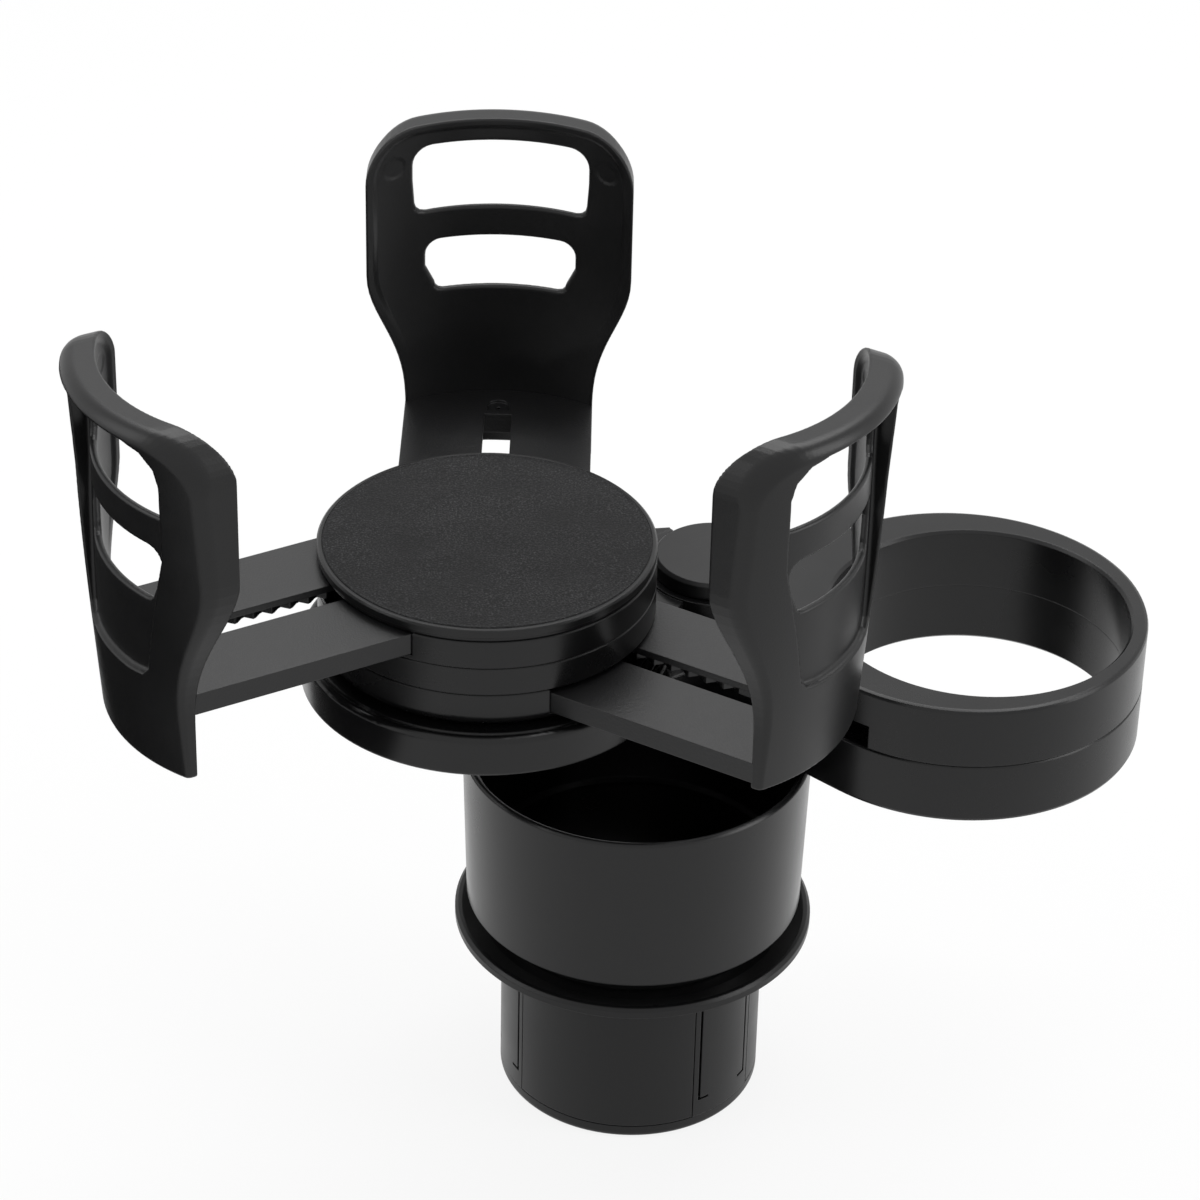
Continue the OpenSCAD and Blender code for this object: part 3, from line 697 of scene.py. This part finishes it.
@dataclass(frozen=True)
class Window:
    """One window of a paddle: narrower at its foot, with rounded corners, in millimetres.

    Attributes:
        low: Height of the lower edge.
        high: Height of the upper edge.
        half_low: Half width at the lower edge.
        half_high: Half width from the middle up.
        corner: Radius of the upper corners.
        foot_share: Radius of the lower corners, as a share of the upper ones.
    """

    low: float
    high: float
    half_low: float
    half_high: float
    corner: float
    foot_share: float = 0.55

    def outline(self) -> Outline:
        """Returns the window's outline."""
        foot = self.corner * self.foot_share
        points = []
        for degrees in range(0, 91, 30):
            turn = math.radians(degrees)
            points.append((self.half_low - foot + foot * math.sin(turn),
                           self.low + foot - foot * math.cos(turn)))
        points.append((self.half_high, (self.low + self.high) / 2))
        for degrees in range(0, 91, 15):
            turn = math.radians(degrees)
            points.append((self.half_high - self.corner + self.corner * math.cos(turn),
                           self.high - self.corner + self.corner * math.sin(turn)))
        return Outline.mirrored(points)


@dataclass
class PaddleShape:
    """The curved paddle of a grip arm, in millimetres, with x along the arm and z up from its foot.

    Attributes:
        radius: Radius of the inner face.
        face: Distance of the inner face from the stack's axis.
        height: Height of the paddle.
        head_half: Half width of the head.
        stem_half: Half width of the stem.
        outer_radius: Radius of the outer face.
        foot: Thickness at the middle of the foot.
        lean: Outward lean of the outer face over the height.
        plate: Thickness of the plate round the windows.
        corner: Radius of the upper corners.
        heel: Radius of the outer edges at the foot.
        shoulder: Radius of the outer edges beside the windows.
        shoulder_span: Heights between which the heel's radius grows into the shoulder's.
        crown: Radius of the outer edge along the top.
        crown_drop: Distances below the top between which the shoulder's radius grows into the crown's.
        flare: Heights between which the stem widens into the head.
        flare_power: How late in its span the flare comes, where 1 is even.
        under: How far the outline runs on below the foot, so that the foot is cut square.
        rim_width: Width of the rim round the recessed inner face.
        recess: Depth that the inner face lies back inside its rim.
        recess_fall: Width of the step from the rim to the recess.
        recess_span: Heights between which the recess comes up to its full depth.
        mark: Place of an ejector mark across and up.
        mark_radius: Radius of an ejector mark.
        mark_fall: Width of its slope.
        mark_depth: Its depth.
        inner_edge: Radius of the edges of the inner face.
        foot_edge: Radius of the edges under the foot.
        panel_edge: Radius at the bottom of the outer panel.
        cut_edge: Radius of the edges of the outer panel.
        window_edge: Radius of the edges of the windows.
        panel: Right half of the outer panel, from bottom to top.
        windows: The windows.
        pitch: Size of a cell of the mesh.
        margin: Room of the mesh's lattice round the paddle.
        wings: Distance from the inner face's axis to where the paddle begins, along the arm.
        thick: Room of the lattice outside the inner face.
    """

    radius: float = 44.4
    face: float = 95.8
    height: float = 95.2
    head_half: float = 34.1
    stem_half: float = 24.7
    outer_radius: float = 49.4
    foot: float = 1.9
    lean: float = 6.9
    plate: float = 2.3
    corner: float = 12.5
    heel: float = 0.9
    shoulder: float = 1.9
    shoulder_span: Span = Span(4.0, 54.0)
    crown: float = 4.2
    crown_drop: Span = Span(14.0, 4.0)
    flare: Span = Span(13.0, 57.0)
    flare_power: float = 1.5
    under: float = 6.0
    rim_width: float = 1.7
    recess: float = 0.55
    recess_fall: float = 1.3
    recess_span: Span = Span(30.0, 56.0)
    mark: tuple[float, float] = (27.2, 84.6)
    mark_radius: float = 3.1
    mark_fall: float = 0.8
    mark_depth: float = 0.14
    inner_edge: float = 0.7
    foot_edge: float = 0.5
    panel_edge: float = 1.2
    cut_edge: float = 0.7
    window_edge: float = 0.8
    panel: Points = ((10.0, 25.6), (14.6, 26.2), (16.6, 28.4), (18.6, 38.0), (22.6, 55.0), (24.4, 62.0),
                     (25.6, 82.0), (24.8, 86.4), (21.8, 89.8), (17.0, 91.2), (8.0, 91.6))
    windows: tuple[Window, ...] = (Window(70.2, 88.7, 22.2, 22.6, 5.0), Window(46.9, 61.4, 17.2, 19.5, 4.0))
    pitch: float = 0.46
    margin: float = 1.4
    wings: float = 22.0
    thick: float = 10.6

    def __post_init__(self) -> None:
        """Works out the outlines."""
        self.axis = self.face - self.radius
        self.outer_axis = self.face + self.foot - self.outer_radius
        self.tilt = math.atan(self.lean / self.height)
        self.edge = Outline.mirrored(self._edge(0.0))
        self.rim = Outline.mirrored(self._edge(self.rim_width))
        self.openings = [window.outline() for window in self.windows]
        self.field = Outline.mirrored(self.panel)

    def _edge(self, inset: float) -> list[tuple[float, float]]:
        """Right half of the outer outline.

        Args:
            inset: How far it is drawn in.

        Returns:
            The corners from bottom to top.
        """
        stem, widening = self.stem_half - inset, self.head_half - self.stem_half
        low, high = self.flare
        points = [(stem, -self.under)]
        for way in np.linspace(0.0, 1.0, 17):
            share = smooth(way) ** self.flare_power
            points.append((stem + widening * share, low + (high - low) * way))
        for turn in np.linspace(0.0, math.pi / 2, 13):
            points.append((self.head_half - self.corner + (self.corner - inset) * math.cos(turn),
                           self.height - self.corner + (self.corner - inset) * math.sin(turn)))
        return points

    def distance(self, x: Array, y: Array, z: Array) -> Array:
        """Distances to the paddle, negative inside.

        Args:
            x: Along the arm.
            y: Across the arm.
            z: Heights above the foot.

        Returns:
            The distances.
        """
        rho = np.hypot(x - self.axis, y)
        inner = self.radius + self._depth(y, z) - rho
        lying = (x - self.outer_axis) * math.cos(self.tilt) - z * math.sin(self.tilt)
        outer = np.hypot(lying, y) - self.outer_radius
        rounding = self.heel + (self.shoulder - self.heel) * ramp(z, self.shoulder_span)
        rounding = rounding + (self.crown - self.shoulder) * ramp(self.height - z, self.crown_drop)
        solid = round_and(outer, self.edge.distance(y, z), rounding)
        solid = round_and(solid, inner, self.inner_edge)
        solid = round_and(solid, -z, self.foot_edge)
        panel = round_and(self.field.distance(y, z), self.radius + self.plate - rho, self.panel_edge)
        solid = carve(solid, panel, self.cut_edge)
        for opening in self.openings:
            solid = carve(solid, opening.distance(y, z), self.window_edge)
        return solid

    def _depth(self, y: Array, z: Array) -> Array:
        """How far the inner face lies back: a step inside the rim of the head, and two ejector marks.

        Args:
            y: Across the arm.
            z: Heights above the foot.

        Returns:
            The depths.
        """
        within = ramp(-self.rim.distance(y, z), Span(0.0, self.recess_fall))
        share = within * ramp(z, self.recess_span)
        across, up = self.mark
        slope = Span(self.mark_radius, self.mark_radius - self.mark_fall)
        marks = ramp(np.hypot(np.abs(y) - across, z - up), slope)
        return self.recess * smooth(share) + self.mark_depth * marks

    def mesh(self) -> tuple[Array, Array, Array]:
        """Meshes the paddle and returns its points, faces and normals in millimetres."""
        half = self.head_half + self.margin
        low = (self.axis + self.wings, -half, -self.margin)
        high = (self.face + self.thick, half, self.height + self.margin)
        return SurfaceNet(low, high, self.pitch).mesh(self.distance)


@dataclass
class GripArms:
    """The three arms: each CAD bar with its racks, and the full paddle moulded on it.

    Attributes:
        finishes: The finishes.
        paddle: Shape of the paddles.
        bearings: Direction of each arm in degrees.
        reach: How far each arm is drawn out past the right one, in millimetres.
        foot_z: Height of the paddles' feet in millimetres.
        sunk: How far a bar reaches into its paddle, in millimetres.
        slot_half: Half width of the slot in a bar.
        slot_end: Where the slot's rounded end begins in the CAD bar.
        slot_reach: Where the slot ends here, as a straight wall before the paddle.
        rack_end: Where the racks under the bar's skin end in the CAD bar.
        rack_half: Half width of that end, with a little room.
        close: How near a point lies to a form that it belongs to, in millimetres.
        closer: The same where two forms lie nearer to each other.
        weld: Distance at which a bar's points become one, in metres.
    """

    finishes: FinishBook
    paddle: PaddleShape = field(default_factory=PaddleShape)
    bearings: dict[Side, float] = field(
        default_factory=lambda: {Side.LEFT: 210.0, Side.BACK: 90.0, Side.RIGHT: -30.0})
    reach: dict[Side, float] = field(
        default_factory=lambda: {Side.LEFT: 1.4, Side.BACK: -2.7, Side.RIGHT: 0.0})
    foot_z: float = 135.8
    sunk: float = 0.9
    slot_half: float = 3.6
    slot_end: float = 67.4
    slot_reach: float = 83.0
    rack_end: float = 68.89
    rack_half: float = 6.5
    close: float = 0.03
    closer: float = 0.02
    weld: float = 0.000004

    def build(self, centre: Vector) -> list[bpy.types.Object]:
        """Builds the arms.

        Args:
            centre: Axis of the stack, in metres.

        Returns:
            The paddles and bars.
        """
        points, faces, normals = self.paddle.mesh()
        made = []
        for side, bearing in self.bearings.items():
            turn = np.array(Matrix.Rotation(math.radians(bearing), 3, "Z"))
            node = f"arm_{side.value}"
            out = np.array([self.reach[side], 0.0, 0.0])
            place = np.array([centre.x, centre.y, self.foot_z * MM])
            head = (points + out) * MM @ turn.T + place
            bar_points, bar_faces = self._bar(node, turn, centre, out)
            head_piece = MeshPiece(f"paddle_{side.value}", head, faces.tolist()).build(normals @ turn.T)
            self.finishes.dress(head_piece, Finish.PADDLE)
            bar_piece = MeshPiece(f"bar_{side.value}", bar_points, bar_faces).build()
            self._keep_edges(bar_piece)
            self.finishes.dress(bar_piece, Finish.ARM)
            for piece in (head_piece, bar_piece):
                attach(piece, node)
                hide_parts(node)
                made.append(piece)
                LOG.info("%s: %d faces", piece.name, len(piece.data.polygons))
        return made

    def _bar(self, node: str, turn: Array, centre: Vector, out: Array) -> tuple[Array, list[Sequence[int]]]:
        """Takes the bar with its racks out of the arm's own mesh, and lets it reach into the paddle.

        Args:
            node: Name of the arm.
            turn: Turn of the arm about the stack's axis.
            centre: Axis of the stack, in metres.
            out: How far the arm is drawn out, in millimetres.

        Returns:
            Points in metres and faces of the bar.
        """
        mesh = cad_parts[node].data
        axis = np.array([centre.x, centre.y, 0.0])
        local = (np.array([v.co for v in mesh.vertices], float) - axis) @ turn / MM - out
        rho = np.hypot(local[:, 0] - self.paddle.axis, local[:, 1])
        near = local[:, 0] < self.paddle.axis
        heights = local[near, 2]
        within = near | (rho < self.paddle.radius + self.close)
        within &= (local[:, 2] > heights.min() - self.closer) & (local[:, 2] < heights.max() + self.closer)
        at_face = ~near & (rho > self.paddle.radius - 2 * self.close)
        kept = []
        for polygon in mesh.polygons:
            corners = list(polygon.vertices)
            closes_end = at_face[corners].all() and abs(polygon.normal.z) < 0.5
            if within[corners].all() and not closes_end:
                kept.append(corners)
        push = np.zeros_like(local)
        push[at_face, 0] = self.sunk
        at_end = self._slot_end(local)
        push[at_end, 0] = self.slot_reach - local[at_end, 0]
        moved = (local + push + out) * MM @ turn.T + axis
        used = sorted({i for corners in kept for i in corners})
        number = {old: new for new, old in enumerate(used)}
        return moved[used], [[number[i] for i in corners] for corners in kept]

    def _slot_end(self, local: Array) -> Array:
        """Finds the points of the slot's rounded end and of the end of the racks beside it.

        Args:
            local: Points of an arm in its own axes, in millimetres.

        Returns:
            Which points they are.
        """
        along, across = local[:, 0], local[:, 1]
        on_arc = np.abs(np.hypot(along - self.slot_end, across) - self.slot_half) < self.closer
        on_arc &= along > self.slot_end - self.closer
        on_rack = (np.abs(along - self.rack_end) < self.close) & (np.abs(across) < self.rack_half)
        return on_arc | on_rack

    def _keep_edges(self, piece: bpy.types.Object) -> None:
        """Welds a bar's points and keeps its edges crisp."""
        piece.modifiers.new("weld", "WELD").merge_threshold = self.weld
        piece.data.shade_flat()


# Foam pad


@dataclass(frozen=True)
class Wave:
    """A wandering wave over a plane, in millimetres.

    Attributes:
        height: Height of the wave.
        pace: Radians per millimetre along it.
        bend: How far its crests wander, in radians.
        bend_pace: Radians per millimetre of the wandering.
    """

    height: float
    pace: float
    bend: float
    bend_pace: float

    def over(self, along: Array, across: Array) -> Array:
        """Returns the wave's heights at some places."""
        return self.height * np.sin(along * self.pace + self.bend * np.sin(across * self.bend_pace))


@dataclass
class FoamPad:
    """The foam pad in the cover: a thin disc with soft edges and a slightly uneven top.

    Attributes:
        finishes: The finishes.
        radius: Radius of the pad in millimetres.
        proud: How far the pad's edge stands above the lip round it.
        edge: Radius of the rounded edge.
        sink: How far the middle level of the waves lies below the edge.
        long_wave: Waves along X.
        short_wave: Waves along Y.
        rings: Rings of points over the top.
        spokes: Points round each ring.
        soft: How soft the pad is, from 0 to 1; not used.
    """

    finishes: FinishBook
    radius: float = 40.6
    proud: float = 0.2
    edge: float = 0.6
    sink: float = 0.09
    long_wave: Wave = Wave(0.05, 0.31, 1.3, 0.17)
    short_wave: Wave = Wave(0.04, 0.43, 0.9, 0.23)
    rings: int = 46
    spokes: int = 180
    soft: float = 0.6

    def build(self, centre: Vector, foot: float, lip: float) -> bpy.types.Object:
        """Builds the pad.

        Args:
            centre: Axis of the stack, in metres.
            foot: Height of its underside, in metres.
            lip: Height of the cover's lip, in metres.

        Returns:
            The piece.
        """
        thickness = (lip - foot) / MM + self.proud
        profile = self._profile(thickness)
        around = np.linspace(0, 2 * math.pi, self.spokes, endpoint=False)
        points = [(0.0, 0.0, thickness)]
        for reach, height in profile:
            points += [(reach * math.cos(a), reach * math.sin(a), height) for a in around]
        grid = np.array(points)
        top = grid[:, 2] > thickness - 0.01
        x, y = grid[top, 0], grid[top, 1]
        grid[top, 2] -= self.sink - (self.long_wave.over(x, y) + self.short_wave.over(y, x))
        place = np.array([centre.x, centre.y, foot])
        piece = MeshPiece("foam_pad_soft", grid * MM + place, self._faces(len(profile))).build()
        self.finishes.dress(piece, Finish.FOAM)
        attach(piece, "stack")
        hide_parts("foam_pad")
        LOG.info("%s: %d faces", piece.name, len(piece.data.polygons))
        return piece

    def _profile(self, thickness: float) -> list[tuple[float, float]]:
        """Radii and heights from near the middle over the rounded edge to the foot.

        Args:
            thickness: Thickness of the pad.

        Returns:
            The profile.
        """
        level = self.radius - self.edge
        profile = [(level * k / self.rings, thickness) for k in range(1, self.rings + 1)]
        for degrees in range(15, 91, 15):
            turn = math.radians(degrees)
            profile.append((level + self.edge * math.sin(turn),
                            thickness - self.edge + self.edge * math.cos(turn)))
        profile.append((self.radius, 0.0))
        return profile

    def _faces(self, rounds: int) -> list[Sequence[int]]:
        """Faces of the disc: a fan in the middle, bands between the rings and one face below.

        Args:
            rounds: Number of rings of points.

        Returns:
            The faces as point numbers.
        """
        n = self.spokes
        faces: list[Sequence[int]] = [(0, 1 + k, 1 + (k + 1) % n) for k in range(n)]
        for ring in range(rounds - 1):
            a, b = 1 + ring * n, 1 + (ring + 1) * n
            faces += [(a + k, b + k, b + (k + 1) % n, a + (k + 1) % n) for k in range(n)]
        last = 1 + (rounds - 1) * n
        faces.append([last + k for k in range(n)][::-1])
        return faces


# Finishes of the CAD nodes


@dataclass
class HardParts:
    """Finishes of the CAD nodes, also of those that a dressed piece stands for.

    Attributes:
        finishes: The finishes.
        choice: Nodes of each finish.
    """

    finishes: FinishBook
    choice: dict[Finish, tuple[str, ...]] = field(default_factory=lambda: {
        Finish.INSERT: ("base_shell", "bottom_cover", "expander_cam"),
        Finish.SHOE: ("grip_shoe_front", "grip_shoe_right", "grip_shoe_left"),
        Finish.CUP: ("main_cup",),
        Finish.CAP: ("pivot_cap",),
        Finish.RING: ("ring_lower", "ring_upper"),
        Finish.TRAY: ("swing_tray",),
        Finish.STACK: ("stack_low", "stack_mid", "stack_top", "stack_cover"),
        Finish.STEEL: ("bottom_screws", "cam_screw", "pivot_bolt", "ring_screws", "turntable_retainer",
                       "turntable_screw", "stack_screws_low", "stack_screws_mid", "cover_screws"),
        Finish.FOAM: ("foam_pad",),
        Finish.ARM: ("arm_left", "arm_back", "arm_right"),
    })

    def dress(self) -> None:
        """Dresses every CAD node."""
        finish_of = {name: finish for finish, names in self.choice.items() for name in names}
        for name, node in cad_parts.items():
            finish = finish_of[name]
            for slot in node.material_slots:
                slot.material = self.finishes.get(finish)
            LOG.info("%s: %s", name, finish.value.name)


# Studio


@dataclass(frozen=True)
class SoftBox:
    """One soft area lamp.

    Attributes:
        name: Name of the lamp.
        place: Where it stands, in metres.
        size: Width and height in metres.
        power: Power in watts.
        target: Point that it faces.
    """

    name: str
    place: Place
    size: tuple[float, float]
    power: float
    target: Place = (0.0, 0.0, 0.11)

    def build(self) -> None:
        """Adds the lamp to the scene."""
        lamp = bpy.data.lights.new(self.name, "AREA")
        lamp.shape = "RECTANGLE"
        lamp.size, lamp.size_y = self.size
        lamp.energy = self.power
        holder = bpy.data.objects.new(self.name, lamp)
        holder.location = self.place
        gaze = Vector(self.target) - Vector(self.place)
        holder.rotation_euler = gaze.to_track_quat("-Z", "Y").to_euler()
        bpy.context.scene.collection.objects.link(holder)


@dataclass
class Studio:
    """White sweep, soft lamps and the camera at the photograph's angle.

    Attributes:
        camera_place: Place of the camera, in metres.
        pitch: Turn of the camera about X, in degrees.
        roll: Turn of the camera about its own view, in degrees.
        lens: Focal length in millimetres.
        sensor: Width of the sensor in millimetres.
        clip: Nearest and farthest distance that the camera sees, in metres.
        lamps: The lamps.
        sky: Strength of the world's light on diffuse surfaces.
        floor_edges: Left, front, right and back edge of the floor, in metres.
        floor_height: Height of the floor, just under the object.
        floor_colour: Colour of the floor.
        floor_glow: Share of plain white where the floor is seen.
        card_edges: Left, front, right and back edge of the dark card.
        card_height: Height of the card.
        card_colour: Colour of the card.
    """

    camera_place: Place = (-0.01038, -0.87885, 0.70546)
    pitch: float = 57.422
    roll: float = 1.381
    lens: float = 125.98
    sensor: float = 36.0
    clip: Span = Span(0.01, 50.0)
    lamps: tuple[SoftBox, ...] = (
        SoftBox("softbox_left", (-1.15, -0.25, 0.75), (0.7, 1.0), 4.0),
        SoftBox("softbox_right", (1.25, -0.35, 0.65), (0.6, 1.0), 7.0),
        SoftBox("softbox_top", (0.1, 0.55, 1.35), (1.3, 0.8), 13.0),
    )
    sky: float = 0.55
    floor_edges: tuple[float, ...] = (-9.0, -9.0, 9.0, 9.0)
    floor_height: float = -0.0002
    floor_colour: Colour = (0.82, 0.82, 0.82)
    floor_glow: float = 0.86
    card_edges: tuple[float, ...] = (-0.8, -0.3, -0.21, 0.5)
    card_height: float = 0.001
    card_colour: Colour = (0.01, 0.01, 0.01)

    def build(self) -> None:
        """Builds the camera, the world, the floor, the dark card and the lamps."""
        self._camera()
        self._world()
        self._floor()
        self._card()
        for lamp in self.lamps:
            lamp.build()
        bpy.context.scene.view_settings.view_transform = "Standard"

    def _camera(self) -> None:
        """Adds the camera."""
        eye = bpy.data.cameras.new("photo_camera")
        eye.lens, eye.sensor_width = self.lens, self.sensor
        eye.clip_start, eye.clip_end = self.clip
        holder = bpy.data.objects.new("photo_camera", eye)
        pitch = Euler((math.radians(self.pitch), 0.0, 0.0)).to_matrix()
        look = pitch @ Matrix.Rotation(math.radians(self.roll), 3, "Z")
        holder.matrix_world = Matrix.Translation(self.camera_place) @ look.to_4x4()
        bpy.context.scene.collection.objects.link(holder)
        bpy.context.scene.camera = holder

    def _seen(self, tree: bpy.types.NodeTree) -> bpy.types.NodeSocket:
        """Adds a value that is 1 for camera, glossy and transmission rays.

        Args:
            tree: Node tree to add it to.

        Returns:
            Socket of the value.
        """
        path = tree.nodes.new("ShaderNodeLightPath")
        total = path.outputs["Is Camera Ray"]
        for name in ("Is Glossy Ray", "Is Transmission Ray"):
            larger = tree.nodes.new("ShaderNodeMath")
            larger.operation = "MAXIMUM"
            tree.links.new(total, larger.inputs[0])
            tree.links.new(path.outputs[name], larger.inputs[1])
            total = larger.outputs[0]
        return total

    def _world(self) -> None:
        """Makes the white world."""
        world = bpy.data.worlds.new("white_studio")
        bpy.context.scene.world = world
        world.use_nodes = True
        tree = world.node_tree
        tree.nodes.clear()
        out = tree.nodes.new("ShaderNodeOutputWorld")
        mix = tree.nodes.new("ShaderNodeMixShader")
        for strength, target in ((self.sky, mix.inputs[1]), (1.0, mix.inputs[2])):
            light = tree.nodes.new("ShaderNodeBackground")
            light.inputs["Color"].default_value = WHITE
            light.inputs["Strength"].default_value = strength
            tree.links.new(light.outputs["Background"], target)
        tree.links.new(self._seen(tree), mix.inputs["Fac"])
        tree.links.new(mix.outputs["Shader"], out.inputs["Surface"])

    @staticmethod
    def _matt(graph: ShaderGraph, colour: Colour) -> Socket:
        """Adds a matt shader to a graph and returns its socket."""
        matt = graph.node("ShaderNodeBsdfDiffuse")
        matt.inputs["Color"].default_value = (*colour, 1.0)
        return matt.outputs["BSDF"]

    def _floor(self) -> None:
        """Adds the pale floor that keeps a soft shadow."""
        graph = ShaderGraph("white_floor")
        glow = graph.node("ShaderNodeEmission")
        glow.inputs["Color"].default_value = WHITE
        glow.inputs["Strength"].default_value = 1.0
        share = graph.node("ShaderNodeMath", operation="MULTIPLY")
        share.inputs[1].default_value = self.floor_glow
        graph.link(self._seen(graph.tree), share.inputs[0])
        mix = graph.node("ShaderNodeMixShader")
        graph.link(share.outputs[0], mix.inputs["Fac"])
        graph.link(self._matt(graph, self.floor_colour), mix.inputs[1])
        graph.link(glow.outputs["Emission"], mix.inputs[2])
        graph.link(mix.outputs["Shader"], graph.output.inputs["Surface"])
        floor = MeshPiece.flat("studio_floor", self.floor_edges, self.floor_height).build()
        floor.data.materials.append(graph.material)

    def _card(self) -> None:
        """Lays a dark card beside the object, which only reflections show, to keep its left side deep."""
        graph = ShaderGraph("dark_card")
        graph.link(self._matt(graph, self.card_colour), graph.output.inputs["Surface"])
        card = MeshPiece.flat("dark_card", self.card_edges, self.card_height).build()
        card.data.materials.append(graph.material)
        for kind in ("camera", "diffuse", "shadow", "transmission"):
            setattr(card, f"visible_{kind}", False)


def main() -> None:
    """Builds the studio and dresses the object."""
    logging.basicConfig(level=logging.INFO, format="%(name)s: %(message)s")
    Studio().build()
    finishes = FinishBook()
    HardParts(finishes).dress()
    low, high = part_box("foam_pad")
    centre = (low + high) / 2
    GripArms(finishes).build(centre)
    FoamPad(finishes).build(centre, low.z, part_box("stack_cover")[1].z)


if __name__ == "__main__":
    main()
